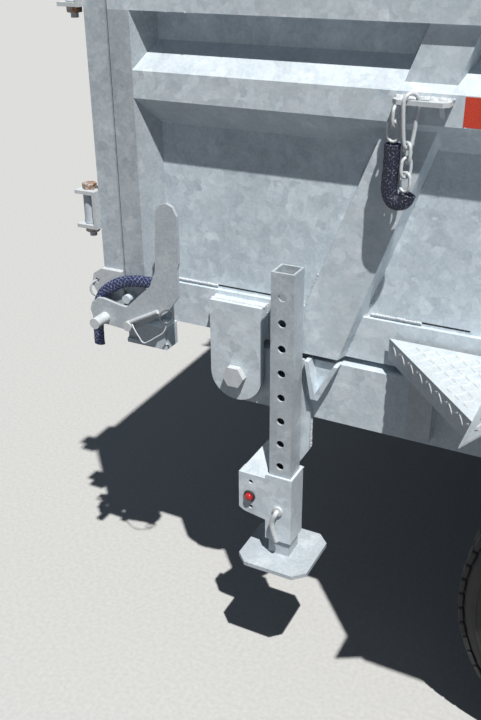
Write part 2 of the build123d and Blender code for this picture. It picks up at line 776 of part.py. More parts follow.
with BuildPart() as lamp_guards:
    plate_xz(guard_points, -sleeve_out_y, -sleeve_out_y + fender_plate)
    block(305, leg_x - sleeve_half, -sleeve_out_y, -sleeve_out_y + 32, 532, 536)
    for x, z in ((335, 516), (335, 448)):
        bar_y(x, z, 5, -sleeve_out_y, -sleeve_out_y + fender_plate, mode=Mode.SUBTRACT)
    bar_y(*lamp, 6, -sleeve_out_y, -sleeve_out_y + fender_plate, mode=Mode.SUBTRACT)
    mirror(about=Plane.XZ)
save(lamp_guards, "lamp_guards")

with BuildPart() as marker_lamps:
    bar_y(*lamp, 5.8, -sleeve_out_y - 1, -sleeve_out_y + 16)
    bar_y(*lamp, 11, -sleeve_out_y - 9, -sleeve_out_y)
    mirror(about=Plane.XZ)
save(marker_lamps, "marker_lamps")

# Bent pins that hang from the sleeves, kept out of the tubes so that the legs can slide
with BuildPart() as leg_pins:
    bar_y(leg_x, leg_pin_z, 7, -sleeve_out_y - 13, -sleeve_out_y + 5)
    bar_y(leg_x, leg_pin_z, 12, -sleeve_out_y - 6, -sleeve_out_y)
    bar_z(leg_x, -sleeve_out_y - 11, 5, sleeve_low, leg_pin_z + 6)
    mirror(about=Plane.XZ)
save(leg_pins, "leg_pins")

# V guides that centre the lowered box
with BuildPart() as bed_guides:
    plate_xz([(436, 820), (510, 820), (469, 733), (452, 733)], -side_rail_y - 27, -side_rail_y)
    plate_xz([(445, 821), (501, 821), (461, 745)], -side_rail_y - 27, -side_rail_y, mode=Mode.SUBTRACT)
    mirror(about=Plane.XZ)
save(bed_guides, "bed_guides")

# Drop legs, square tubes full of pin holes with a clipped foot
for name, side in (("right", -1), ("left", 1)):
    with BuildPart() as drop_leg:
        tube_z(leg_x, side * leg_y, foot_top, leg_top, leg_tube, leg_tube, leg_wall)
        for number in range(hole_first, hole_last + 1):
            bar_y(leg_x, leg_pin_z + number * hole_pitch, hole_radius, side * (leg_y - leg_tube),
                  side * (leg_y + leg_tube), mode=Mode.SUBTRACT)
        half = foot_size / 2
        near = half - foot_clip
        corners = [(-half, -near), (-near, -half), (near, -half), (half, -near),
                   (half, near), (near, half), (-near, half), (-half, near)]
        plate_xy([(leg_x + x, side * leg_y + y) for x, y in corners], foot_top - foot_plate, foot_top)
    save(drop_leg, f"drop_leg_{name}")

# Fenders, with a step plate at each end and a skirt along the box
fender_front_x = 2 * mid_axle_x - fender_rear_x
slope = fender_top_z - fender_step_z
fender_path = [
    (fender_rear_x, fender_step_z),
    (fender_rear_x + slope, fender_top_z),
    (fender_front_x - slope, fender_top_z),
    (fender_front_x, fender_step_z),
]
fender_under = [(x, z - fender_plate) for x, z in reversed(fender_path)]
skirt_points = [
    (fender_rear_x, skirt_end_z),
    (fender_rear_x, fender_step_z - fender_plate),
    (fender_rear_x + slope, fender_top_z - fender_plate),
    (fender_front_x - slope, fender_top_z - fender_plate),
    (fender_front_x, fender_step_z - fender_plate),
    (fender_front_x, skirt_end_z),
    (side_rail_front[0] + 30, skirt_end_z),
    (side_rail_front[0] - 30, skirt_z),
    (side_rail_rear[1] + 30, skirt_z),
    (side_rail_rear[1] - 30, skirt_end_z),
]
with BuildPart() as fenders:
    plate_xz(fender_path + fender_under, -fender_y, -fender_in_y)
    block(fender_rear_x + slope, fender_front_x - slope, -fender_y, -fender_y + fender_plate,
          fender_top_z - fender_lip, fender_top_z - fender_plate)
    plate_xz(skirt_points, -fender_in_y - fender_plate, -fender_in_y)
    for x in (side_rail_rear[1] - 60, side_rail_front[0] + 10):
        block(x, x + 50, -fender_in_y, -side_rail_y, skirt_end_z, side_rail_top)
    with Locations((at(mid_axle_x), -fender_in_y, main_rail_top - strut / 2)):
        Box(strut + 2 * seat_gap, 3 * fender_plate, strut + 2 * seat_gap, mode=Mode.SUBTRACT)
    mirror(about=Plane.XZ)
save(fenders, "fenders")

# Step plates, with a lip turned down along the slanted edge and an upright to the side rail
step_ends = [
    (fender_rear_x, -1, step_in_y),
    (fender_front_x, 1, fender_in_y),
]
with BuildPart() as step_plates:
    for edge_x, way, in_y in step_ends:
        inner = (edge_x + way * step_run, -in_y)
        outer = (edge_x, -step_out_y)
        plate_xy([inner, outer, (edge_x, -in_y)], fender_step_z - fender_plate, fender_step_z)
        plate_xy([inner, outer, (outer[0], outer[1] + 6), (inner[0] - way * 6, inner[1])],
                 fender_step_z - step_lip, fender_step_z)
        block(edge_x + way * 120, edge_x + way * 170, -side_rail_y - step_post, -side_rail_y,
              side_rail_low + 20, side_rail_top)
        block(edge_x + way * 120, edge_x + way * 170, -side_rail_y - step_post, -side_rail_y - step_post + 8,
              side_rail_top, fender_step_z - fender_plate)
    mirror(about=Plane.XZ)
save(step_plates, "step_plates")

# Axles with their spindles
beam_end_y = wheel_y - hub_in
with BuildPart() as axles:
    for x in axle_xs:
        bar_y(x, tyre_radius, axle_radius, -beam_end_y + run_gap, beam_end_y - run_gap)
        bar_y(x, tyre_radius, spindle_radius, -wheel_y - hub_out + 20, wheel_y + hub_out - 20)
save(axles, "axles")

# Leaf springs, with eyes at both ends and a seat on each axle
seat_z = tyre_radius + axle_radius
spring_y = main_rail_y - main_rail_width / 2
spring_half = 30
# Each row holds a share of the spring's reach and how many leaves have ended there
leaf_rows = [(1, 2), (5 / 6, 2), (2 / 3, 2), (2 / 3, 1), (1 / 2, 1), (1 / 3, 1), (1 / 3, 0), (1 / 6, 0), (0, 0)]


def leaf_point(axle_x, share, leaves):
    """A point on the curve of the leaves, a number of leaves above the lowest one's underside."""
    return (axle_x + share * spring_reach, seat_z + 8 + spring_rise * share ** 2 + leaves * leaf_thick)


with BuildPart() as springs:
    for axle_x in axle_xs:
        top = [leaf_point(axle_x, (i - 6) / 6, 3) for i in range(13)]
        under = [leaf_point(axle_x, share, leaves) for share, leaves in leaf_rows]
        under += [leaf_point(axle_x, -share, leaves) for share, leaves in reversed(leaf_rows[:-1])]
        plate_xz(top + under, -spring_y - spring_half, -spring_y + spring_half)
        block(axle_x - 45, axle_x + 45, -spring_y - spring_half - 6, -spring_y + spring_half + 6,
              seat_z - 10, seat_z + 12)
        bar_y(axle_x, tyre_radius, axle_radius, -spring_y - spring_half - 6, -spring_y + spring_half + 6,
              mode=Mode.SUBTRACT)
        for end in (-1, 1):
            bar_y(axle_x + end * spring_reach, eye_z, 20, -spring_y - spring_half, -spring_y + spring_half)
            bar_y(axle_x + end * spring_reach, eye_z, 10, -spring_y - spring_half, -spring_y + spring_half,
                  mode=Mode.SUBTRACT)
    mirror(about=Plane.XZ)
save(springs, "springs")

# Spring hangers, equaliser and their bolts
hanger_xs = (axle_xs[0] - spring_reach, axle_xs[1] + spring_reach)
inner_xs = (axle_xs[0] + spring_reach, axle_xs[1] - spring_reach)
cheek = 7
with BuildPart() as spring_hangers:
    for y in (-spring_y - spring_half - cheek - seat_gap, -spring_y + spring_half + seat_gap):
        for x in hanger_xs:
            plate_xz([(x - 40, main_rail_low), (x - 22, eye_z - 24), (x + 22, eye_z - 24), (x + 40, main_rail_low)],
                     y, y + cheek)
        plate_xz([(inner_xs[0] - 20, eye_z - 18), (inner_xs[0] - 20, eye_z + 18), (mid_axle_x - 30, eye_z + 60),
                  (mid_axle_x + 30, eye_z + 60), (inner_xs[1] + 20, eye_z + 18), (inner_xs[1] + 20, eye_z - 18),
                  (mid_axle_x, eye_z - 4)], y, y + cheek)
    for x in hanger_xs + inner_xs:
        bar_y(x, eye_z, 9.9, -spring_y - spring_half - 14, -spring_y + spring_half + 14)
    block(mid_axle_x - 40, mid_axle_x + 40, -spring_y - spring_half, -spring_y + spring_half,
          eye_z + 20, main_rail_low)
    mirror(about=Plane.XZ)
save(spring_hangers, "spring_hangers")

# Wheels, each a rim with its hub and a tyre
tyre_outer = [(rim_radius, 82), (218, 100), (300, tyre_width / 2), (352, 108), (380, 94), (tyre_radius, 74)]
tyre_inner = [(rim_radius, 68), (226, 86), (300, 98), (345, 94), (364, 80), (368, 60)]
wheels = [
    ("rear_right", rear_axle_x, -1),
    ("rear_left", rear_axle_x, 1),
    ("front_right", axle_xs[1], -1),
    ("front_left", axle_xs[1], 1),
]
for name, x, side in wheels:
    centre = side * wheel_y
    with BuildPart() as rim:
        bar_y(x, tyre_radius, rim_radius, centre - 82, centre + 82)
        bar_y(x, tyre_radius, rim_radius - 8, centre - 82, centre + 82, mode=Mode.SUBTRACT)
        bar_y(x, tyre_radius, rim_radius - 4, centre + side * 10, centre + side * 18)
        bar_y(x, tyre_radius, hub_radius, centre - side * hub_in, centre + side * 30)
        bar_y(x, tyre_radius, hub_radius - 22, centre, centre + side * hub_out)
        bar_y(x, tyre_radius, spindle_radius + pin_gap, centre - side * hub_in, centre + side * (hub_out - 15),
              mode=Mode.SUBTRACT)
        with BuildSketch(Plane.XZ.offset(-centre)) as stud_sketch:
            with Locations((at(x), tyre_radius)):
                with PolarLocations(hub_radius + 34, 6, start_angle=30):
                    Circle(22)
        extrude(stud_sketch.sketch, amount=30, dir=(0, side, 0), mode=Mode.SUBTRACT)
    save(rim, f"rim_{name}")
    right = [(w, r) for r, w in tyre_outer] + [(-w, r) for r, w in reversed(tyre_outer)]
    cavity = [(-w, r) for r, w in tyre_inner] + [(w, r) for r, w in reversed(tyre_inner)]
    with BuildPart() as tyre:
        with BuildSketch(Plane((at(x), centre, tyre_radius), x_dir=(0, 1, 0), z_dir=(1, 0, 0))) as section:
            with BuildLine():
                Polyline(*right, *cavity, close=True)
            make_face()
        revolve(section.sketch, axis=Axis((at(x), centre, tyre_radius), (0, 1, 0)))
    save(tyre, f"tyre_{name}")

# Tongue rails, with cross angles under the pump box and a plate for the jack
tongue_root = main_rail_y - 25
tongue_side = [
    (box_length, -tongue_root),
    (tongue_tip_x, -tongue_half_tip - tongue_rail_width),
    (tongue_tip_x, -tongue_half_tip),
    (box_length, -tongue_root + tongue_rail_width * 1.14),
]
inner_slope = (tongue_root - tongue_rail_width * 1.14 - tongue_half_tip) / (tongue_tip_x - box_length)
with BuildPart() as tongue_frame:
    plate_xy(tongue_side, tongue_low, tongue_top)
    mirror(about=Plane.XZ)
    for x in (pump_box_rear + 30, pump_box_front - 30):
        near = tongue_root - tongue_rail_width * 1.14 - inner_slope * (x - 20 - box_length)
        block(x - 20, x + 20, -near, near, tongue_top - 40, tongue_top)
    block(jack_x - 70, jack_x + 70, -210, 210, tongue_top, tongue_top + 12)
    with Locations((at(jack_x), 0, tongue_top)):
        Box(jack_tube, jack_tube, 2 * jack_tube, mode=Mode.SUBTRACT)
save(tongue_frame, "tongue_frame")

# Coupler at the tongue's tip, with a ball socket open below
with BuildPart() as coupler:
    block(tongue_tip_x - 120, tongue_tip_x, -62, 62, tongue_top, tongue_top + 12)
    block(tongue_tip_x, ball_x, -44, 44, coupler_z - 18, tongue_top + 12)
    with Locations((at(ball_x), 0, coupler_z)):
        Sphere(coupler_radius)
        Box(3 * coupler_radius, 3 * coupler_radius, 3 * coupler_radius,
            align=(Align.CENTER, Align.CENTER, Align.MAX), mode=Mode.SUBTRACT)
    bar_z(ball_x, 0, coupler_radius, coupler_z - 18, coupler_z)
    with Locations((at(ball_x), 0, coupler_z)):
        Sphere(ball_radius, mode=Mode.SUBTRACT)
    bar_z(ball_x, 0, ball_radius, coupler_z - 18, coupler_z, mode=Mode.SUBTRACT)
save(coupler, "coupler")

# Jack tube on the tongue with its crank, and the leg that slides in it
jack_half = jack_tube / 2
with BuildPart() as jack_post:
    tube_z(jack_x, 0, jack_low, jack_high, jack_tube, jack_tube, jack_wall)
    block(jack_x - jack_half, jack_x + jack_half, -jack_half, jack_half, jack_high, jack_high + 10)
    bar_y(jack_x, jack_high - 40, 9, jack_half, jack_half + 56)
    bar_z(jack_x, jack_half + 52, 8, jack_high - 180, jack_high - 31)
    bar_y(jack_x, jack_high - 168, 7, jack_half + 52, jack_half + 150)
save(jack_post, "jack_post")

inner_half = jack_half - jack_wall - jack_fit
with BuildPart() as jack_leg:
    block(jack_x - inner_half, jack_x + inner_half, -inner_half, inner_half, jack_foot, jack_leg_top)
    block(jack_x - 110, jack_x + 110, -110, 110, 0, jack_foot)
save(jack_leg, "jack_leg")

# Pump box on the tongue, and its lid hinged at the front
pump_low = tongue_top
pump_high = pump_low + pump_box_height
with BuildPart() as pump_box:
    block(pump_box_rear, pump_box_front, -pump_box_half, pump_box_half, pump_low, pump_high)
    with Locations((at((pump_box_rear + pump_box_front) / 2), 0, pump_low + 3)):
        Box(pump_box_front - pump_box_rear - 6, 2 * pump_box_half - 6, pump_box_height,
            align=(Align.CENTER, Align.CENTER, Align.MIN), mode=Mode.SUBTRACT)
    for y in (-180, 180):
        bar_y(pump_box_front + 12, pump_high, 4, y - 30, y + 30)
        block(pump_box_front, pump_box_front + 12, y - 30, y - 10, pump_high - 16, pump_high - 4)
        block(pump_box_front, pump_box_front + 12, y + 10, y + 30, pump_high - 16, pump_high - 4)
        block(pump_box_front + 8, pump_box_front + 16, y - 30, y - 10, pump_high - 16, pump_high)
        block(pump_box_front + 8, pump_box_front + 16, y + 10, y + 30, pump_high - 16, pump_high)
save(pump_box, "pump_box")

with BuildPart() as pump_box_lid:
    block(pump_box_rear - 8, pump_box_front, -pump_box_half - 8, pump_box_half + 8,
          pump_high + run_gap, pump_high + run_gap + 20)
    with Locations((at((pump_box_rear - 8 + pump_box_front) / 2), 0, pump_high + run_gap)):
        Box(pump_box_front - pump_box_rear - 20, 2 * pump_box_half - 20, 17,
            align=(Align.CENTER, Align.CENTER, Align.MIN), mode=Mode.SUBTRACT)
    for y in (-180, 180):
        bar_y(pump_box_front + 12, pump_high, 8, y - 4.5, y + 4.5)
        block(pump_box_front - 2, pump_box_front + 12, y - 4.5, y + 4.5, pump_high + run_gap, pump_high + run_gap + 8)
        block(pump_box_front + 6, pump_box_front + 18, y - 4.5, y + 4.5, pump_high, pump_high + run_gap + 8)
        bar_y(pump_box_front + 12, pump_high, 4 + pin_gap, y - 4.5, y + 4.5, mode=Mode.SUBTRACT)
save(pump_box_lid, "pump_box_lid")

# Brackets for the two rams, on the chassis and under the floor
eye_half = 27
ear_in = eye_half + run_gap
foot_outline = [
    (ram_cross_x + cross_tube / 2, main_rail_low + cross_tube),
    (ram_base[0] - 34, ram_base[1] + 68),
    (ram_base[0] + 36, ram_base[1] + 22),
    (ram_base[0] + 36, ram_base[1] - 22),
    (ram_base[0] + 14, ram_base[1] - 42),
    (ram_base[0] - 30, ram_base[1] - 42),
    (ram_cross_x + cross_tube / 2, main_rail_low),
]
eye_outline = [
    (ram_eye_x - 120, sill_top),
    (ram_eye_x + 120, sill_top),
    (ram_eye_x + 46, ram_eye_z - 31),
    (ram_eye_x + 20, ram_eye_z - 45),
    (ram_eye_x - 20, ram_eye_z - 45),
    (ram_eye_x - 46, ram_eye_z - 31),
]
with BuildPart() as ram_feet:
    for y in (-ram_half_spacing, ram_half_spacing):
        for near in (y - ear_in - ram_ear, y + ear_in):
            plate_xz(foot_outline, near, near + ram_ear)
        bar_y(*ram_base, ram_pin, y - ear_in - ram_ear, y + ear_in + ram_ear)
save(ram_feet, "ram_feet")

with BuildPart() as ram_ears:
    for y in (-ram_half_spacing, ram_half_spacing):
        for near in (y - ear_in - ram_ear, y + ear_in):
            plate_xz(eye_outline, near, near + ram_ear)
save(ram_ears, "ram_ears")

# Rams, each a barrel and a rod laid along the line between its two pins
rise = math.degrees(math.atan2(ram_eye_z - ram_base[1], ram_eye_x - ram_base[0]))
reach = math.hypot(ram_eye_z - ram_base[1], ram_eye_x - ram_base[0])
with BuildPart() as ram_barrels:
    for y in (-ram_half_spacing, ram_half_spacing):
        barrel_plane = Plane((at(ram_base[0]), y, ram_base[1])).rotated((0, 90 - rise, 0))
        with BuildSketch(barrel_plane.offset(60)) as barrel_ring:
            Circle(ram_radius)
        extrude(amount=barrel_length - 60)
        with BuildSketch(barrel_plane.offset(20)) as barrel_neck:
            Rectangle(70, 2 * eye_half)
        extrude(amount=60)
        bar_y(*ram_base, 36, y - eye_half, y + eye_half)
        bar_y(*ram_base, ram_pin + ram_pin_gap, y - eye_half, y + eye_half, mode=Mode.SUBTRACT)
        with BuildSketch(barrel_plane.offset(90)) as barrel_bore:
            Circle(rod_radius + 0.1)
        extrude(amount=barrel_length, mode=Mode.SUBTRACT)
save(ram_barrels, "ram_barrels")

with BuildPart() as ram_rods:
    for y in (-ram_half_spacing, ram_half_spacing):
        rod_plane = Plane((at(ram_base[0]), y, ram_base[1])).rotated((0, 90 - rise, 0))
        with BuildSketch(rod_plane.offset(100)) as rod_ring:
            Circle(rod_radius)
        extrude(amount=reach - 100 - 20)
        bar_y(ram_eye_x, ram_eye_z, 36, y - eye_half, y + eye_half)
save(ram_rods, "ram_rods")
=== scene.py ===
# %% [markdown]
# A galvanised dump trailer, dressed in Blender around its CAD frame.
# The frame brings every tube, plate, wheel and hinge at its real size and place.
# This lesson sets the camera and the light and gives every part its finish.
# Then it adds the tread, the chequer plate, the welds and the small hardware.

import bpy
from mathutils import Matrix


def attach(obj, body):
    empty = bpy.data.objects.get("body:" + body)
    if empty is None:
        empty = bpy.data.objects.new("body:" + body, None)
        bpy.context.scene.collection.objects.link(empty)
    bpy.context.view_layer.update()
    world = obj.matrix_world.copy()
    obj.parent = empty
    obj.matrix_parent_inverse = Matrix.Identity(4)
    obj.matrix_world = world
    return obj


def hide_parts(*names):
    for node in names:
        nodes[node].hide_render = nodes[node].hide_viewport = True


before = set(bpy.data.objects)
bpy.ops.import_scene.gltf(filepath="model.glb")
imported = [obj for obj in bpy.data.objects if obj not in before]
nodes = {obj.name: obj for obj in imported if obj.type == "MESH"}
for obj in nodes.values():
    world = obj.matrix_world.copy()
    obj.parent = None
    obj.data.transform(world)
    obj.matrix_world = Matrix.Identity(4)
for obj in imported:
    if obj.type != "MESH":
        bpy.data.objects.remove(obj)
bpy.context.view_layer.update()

# %% [markdown]
# The script uses a few of Python's own modules, and Blender's modules for meshes and vectors.

# %% Modules used below
import math
import random

import bmesh
import bpy
from mathutils import Matrix, Vector

# %% [markdown]
# The camera stands where the photographer stood, beside the trailer at eye height.
# It looks back and down at the right rear corner.
# Its place and lens were solved from the trailer's own straight edges.
# So the CAD pieces fall where the photograph shows them.
# The picture is upright, so the 36 mm side of the sensor is the tall one.

# %% Camera
camera_place = Vector((-1.374, -2.465, 1.655))
look = Vector((-0.4073, 0.7936, -0.4520)).normalized()
camera_roll = math.radians(-0.494)
level_right = look.cross(Vector((0, 0, 1))).normalized()
level_up = level_right.cross(look)
right = level_right * math.cos(camera_roll) + level_up * math.sin(camera_roll)
up = level_up * math.cos(camera_roll) - level_right * math.sin(camera_roll)
camera_data = bpy.data.cameras.new("view_camera")
camera_data.lens = 44.12
camera_data.sensor_width = 36
camera_data.clip_start = 0.05
camera_data.clip_end = 60
camera = bpy.data.objects.new("view_camera", camera_data)
turn = Matrix((right, up, -look)).transposed().to_4x4()
camera.matrix_world = Matrix.Translation(camera_place) @ turn
bpy.context.scene.collection.objects.link(camera)
bpy.context.scene.camera = camera
print("camera at", tuple(round(v, 3) for v in camera_place))

# %% [markdown]
# Galvanised steel looks right under one strong lamp, high behind the camera's right shoulder.
# The lamp is a sun with a small disc, so its shadows have crisp edges.
# The world fills the shade with a weak blue light. Where it is seen, it is a plain pale backdrop.

# %% Light and floor
sun_data = bpy.data.lights.new("key_sun", "SUN")
sun_data.energy = 4.85
sun_data.angle = math.radians(0.8)
sun_data.color = (1.0, 0.985, 0.955)
sun = bpy.data.objects.new("key_sun", sun_data)
to_sun = Vector((0.339, -0.37, 1.0)).normalized()
sun.rotation_euler = to_sun.to_track_quat("Z", "Y").to_euler()
bpy.context.scene.collection.objects.link(sun)

world = bpy.data.worlds.new("studio_world")
bpy.context.scene.world = world
world.use_nodes = True
sky = world.node_tree
fill = sky.nodes["Background"]
fill.inputs["Color"].default_value = (0.62, 0.78, 1.0, 1)
fill.inputs["Strength"].default_value = 0.12
backdrop = sky.nodes.new("ShaderNodeBackground")
backdrop.inputs["Color"].default_value = (0.86, 0.90, 0.94, 1)
backdrop.inputs["Strength"].default_value = 0.80
ray = sky.nodes.new("ShaderNodeLightPath")
looked_at = sky.nodes.new("ShaderNodeMath")
looked_at.operation = "ADD"
sky.links.new(ray.outputs["Is Camera Ray"], looked_at.inputs[0])
sky.links.new(ray.outputs["Is Glossy Ray"], looked_at.inputs[1])
any_look = sky.nodes.new("ShaderNodeMath")
any_look.operation = "ADD"
any_look.use_clamp = True
sky.links.new(looked_at.outputs["Value"], any_look.inputs[0])
sky.links.new(ray.outputs["Is Transmission Ray"], any_look.inputs[1])
choice = sky.nodes.new("ShaderNodeMixShader")
sky.links.new(any_look.outputs["Value"], choice.inputs[0])
sky.links.new(fill.outputs["Background"], choice.inputs[1])
sky.links.new(backdrop.outputs["Background"], choice.inputs[2])
sky.links.new(choice.outputs["Shader"], sky.nodes["World Output"].inputs["Surface"])
bpy.context.scene.view_settings.view_transform = "Standard"


def clear_selection():
    """Leave no object selected, so that an operator acts on the new one alone."""
    for item in list(bpy.context.selected_objects):
        item.select_set(False)


clear_selection()
floor_size = 60
floor_level = -0.0005
bpy.ops.mesh.primitive_grid_add(x_subdivisions=8, y_subdivisions=8, size=floor_size,
                                location=(0, 0, floor_level))
floor = bpy.context.active_object
floor.name = "studio_floor"
print("sun, sky and floor done")


# %% [markdown]
# One helper starts each material with its shader, and another adds a node with its settings in one line.
# Short ones on top of them make the nodes that most finishes share: noise, ramps, mixes and bumps.

# %% Material helpers
def start_material(name, colour, metallic=0.0, roughness=0.5, **more):
    """A material with a Principled shader, and handles for its tree, shader and object coordinates."""
    material = bpy.data.materials.new(name)
    material.use_nodes = True
    tree = material.node_tree
    shader = tree.nodes["Principled BSDF"]
    shader.inputs["Base Color"].default_value = (*colour, 1)
    shader.inputs["Metallic"].default_value = metallic
    shader.inputs["Roughness"].default_value = roughness
    for socket, value in more.items():
        shader.inputs[socket.replace("_", " ")].default_value = value
    coordinates = tree.nodes.new("ShaderNodeTexCoord")
    return material, tree, shader, coordinates


def add_node(tree, kind, inputs=(), **settings):
    """A node with its settings and its inputs, where an input is a value or another node's output."""
    node = tree.nodes.new(kind)
    for name, value in settings.items():
        setattr(node, name, value)
    for name, value in dict(inputs).items():
        if isinstance(value, bpy.types.NodeSocket):
            tree.links.new(value, node.inputs[name])
        else:
            node.inputs[name].default_value = value
    return node


def ramp(tree, source, stops):
    """A colour ramp over a source, with stops of place and grey or colour."""
    node = tree.nodes.new("ShaderNodeValToRGB")
    tree.links.new(source, node.inputs["Fac"])
    for element in list(node.color_ramp.elements)[1:]:
        node.color_ramp.elements.remove(element)
    for number, (place, value) in enumerate(stops):
        colour = (value, value, value) if isinstance(value, (int, float)) else value
        element = node.color_ramp.elements[0] if number == 0 else node.color_ramp.elements.new(place)
        element.position = place
        element.color = (*colour, 1)
    return node.outputs["Color"]


def mix(tree, factor, first, second, blend="MIX"):
    """Two colours mixed by a factor, each of them a value or an output."""
    node = tree.nodes.new("ShaderNodeMix")
    node.data_type = "RGBA"
    node.blend_type = blend
    for socket, value in (("Factor", factor), ("A", first), ("B", second)):
        target = [s for s in node.inputs if s.name == socket and s.enabled][0]
        if isinstance(value, bpy.types.NodeSocket):
            tree.links.new(value, target)
        else:
            target.default_value = value if socket == "Factor" else (*value, 1)
    return [s for s in node.outputs if s.enabled][0]


def noise(tree, place, scale, detail=2.0, roughness=0.5):
    """A noise texture over a place."""
    return add_node(tree, "ShaderNodeTexNoise",
                    {"Vector": place, "Scale": scale, "Detail": detail, "Roughness": roughness})


def vector_math(tree, operation, *vectors):
    """The outcome of an operation on one or two vectors."""
    return add_node(tree, "ShaderNodeVectorMath", enumerate(vectors), operation=operation).outputs["Vector"]


def spread(tree, value, low, high):
    """A value between nought and one, spread between two limits."""
    node = add_node(tree, "ShaderNodeMapRange", {"Value": value, "To Min": low, "To Max": high})
    return node.outputs["Result"]


def bumped(tree, height, strength, distance):
    """The surface's normal, bent by a height."""
    node = add_node(tree, "ShaderNodeBump", {"Height": height, "Strength": strength, "Distance": distance})
    return node.outputs["Normal"]


# %% [markdown]
# The floor is pale and plain, with a faint grain so that it doesn't look like paper.
# The real trailer stands on dark ground, which sends little light up under it.
# So the floor is pale only where it is seen, directly or in a reflection.
# It is dark for the light that it scatters onto the trailer.

# %% Floor finish
floor_finish, tree, shader, coordinates = start_material("pale_floor", (0.56, 0.56, 0.55), roughness=0.9)
grain = noise(tree, coordinates.outputs["Object"], 90.0, 4.0)
seen_floor = ramp(tree, grain.outputs["Fac"], [(0.3, (0.47, 0.47, 0.465)), (0.7, (0.53, 0.53, 0.522))])
dark_floor = (0.125, 0.125, 0.13)
path = tree.nodes.new("ShaderNodeLightPath")
seen = add_node(tree, "ShaderNodeMath", {0: path.outputs["Is Camera Ray"], 1: path.outputs["Is Glossy Ray"]},
                operation="ADD")
seen = add_node(tree, "ShaderNodeMath", {0: seen.outputs["Value"], 1: path.outputs["Is Transmission Ray"]},
                operation="ADD", use_clamp=True)
tree.links.new(mix(tree, seen.outputs["Value"], dark_floor, seen_floor), shader.inputs["Base Color"])
shader.inputs["Specular IOR Level"].default_value = 0.1
floor.data.materials.append(floor_finish)
print("floor finish done")


# %% [markdown]
# Hot-dip galvanising leaves a coat of zinc crystals, which show as pale and dark flakes up to 2 cm wide.
# Over them lie cloudy patches where the coat cooled unevenly, runs from where it dripped, and pale specks.
# The flakes come from Voronoi cells whose edges a noise has bent, and the same cells make the shine uneven.
# The pins and other small hardware are smoother than the box, with finer and fainter flakes.

# %% Galvanised finishes
def galvanised(name, pale, dark, flake=48.0, contrast=0.5, shine=0.42, cloud=2.2, facet=0.09):
    """Mottled zinc on steel, with flakes, clouds, runs, white bloom and pale specks."""
    material, tree, shader, coordinates = start_material(name, pale, metallic=0.03, roughness=shine,
                                                       Specular_IOR_Level=0.32)
    place = coordinates.outputs["Object"]
    wander = noise(tree, place, 26.0, 3.0)
    bent = vector_math(tree, "MULTIPLY", wander.outputs["Color"], (0.045, 0.045, 0.045))
    moved = vector_math(tree, "ADD", place, bent)
    flakes = add_node(tree, "ShaderNodeTexVoronoi", {"Vector": moved, "Scale": flake})
    small = add_node(tree, "ShaderNodeTexVoronoi", {"Vector": moved, "Scale": flake * 2.7})
    clouds = noise(tree, place, cloud, 5.0, 0.6)
    patches = noise(tree, place, 17.0, 4.0, 0.65)
    stretch = add_node(tree, "ShaderNodeMapping", {"Vector": place, "Scale": (14.0, 14.0, 1.3)})
    runs = noise(tree, stretch.outputs["Vector"], 1.0, 4.0)
    specks = noise(tree, place, 320.0)

    flake_grey = ramp(tree, flakes.outputs["Color"], [(0.15, 0.0), (0.85, 1.0)])
    small_grey = ramp(tree, small.outputs["Color"], [(0.2, 0.0), (0.8, 1.0)])
    both = mix(tree, 0.4, flake_grey, small_grey)
    cloud_grey = ramp(tree, clouds.outputs["Fac"], [(0.32, 0.0), (0.68, 1.0)])
    patch_grey = ramp(tree, patches.outputs["Fac"], [(0.36, 0.0), (0.64, 1.0)])
    run_grey = ramp(tree, runs.outputs["Fac"], [(0.35, 0.0), (0.7, 1.0)])
    mottle = mix(tree, contrast, mix(tree, 0.5, cloud_grey, patch_grey), both)
    streaked = mix(tree, 0.25, mottle, run_grey)
    colour = mix(tree, streaked, dark, pale)
    bloom = ramp(tree, patches.outputs["Fac"], [(0.60, 0.0), (0.72, 0.55)])
    speck_mask = ramp(tree, specks.outputs["Fac"], [(0.66, 0.0), (0.74, 0.5)])
    white = tuple(min(1.0, c + 0.12) for c in pale)
    grain = noise(tree, place, 150.0, 5.0, 0.7)
    grain_colour = ramp(tree, grain.outputs["Fac"], [(0.36, (0.30, 0.36, 0.40)), (0.5, (0.5, 0.5, 0.5)),
                                                     (0.64, (0.70, 0.67, 0.64))])
    grained = mix(tree, 0.30, mix(tree, bloom, colour, white), grain_colour, blend="OVERLAY")
    final = mix(tree, speck_mask, grained, white)
    tree.links.new(final, shader.inputs["Base Color"])
    tree.links.new(spread(tree, mottle, shine + 0.14, shine - 0.08), shader.inputs["Roughness"])
    ripple = noise(tree, place, 90.0, 4.0)
    rippled = bumped(tree, ripple.outputs["Fac"], 0.16, 0.002)
    tilt = vector_math(tree, "SUBTRACT", flakes.outputs["Color"], (0.5, 0.5, 0.5))
    tilt = vector_math(tree, "MULTIPLY", tilt, (facet, facet, facet))
    turned = vector_math(tree, "ADD", rippled, tilt)
    tree.links.new(vector_math(tree, "NORMALIZE", turned), shader.inputs["Normal"])
    return material


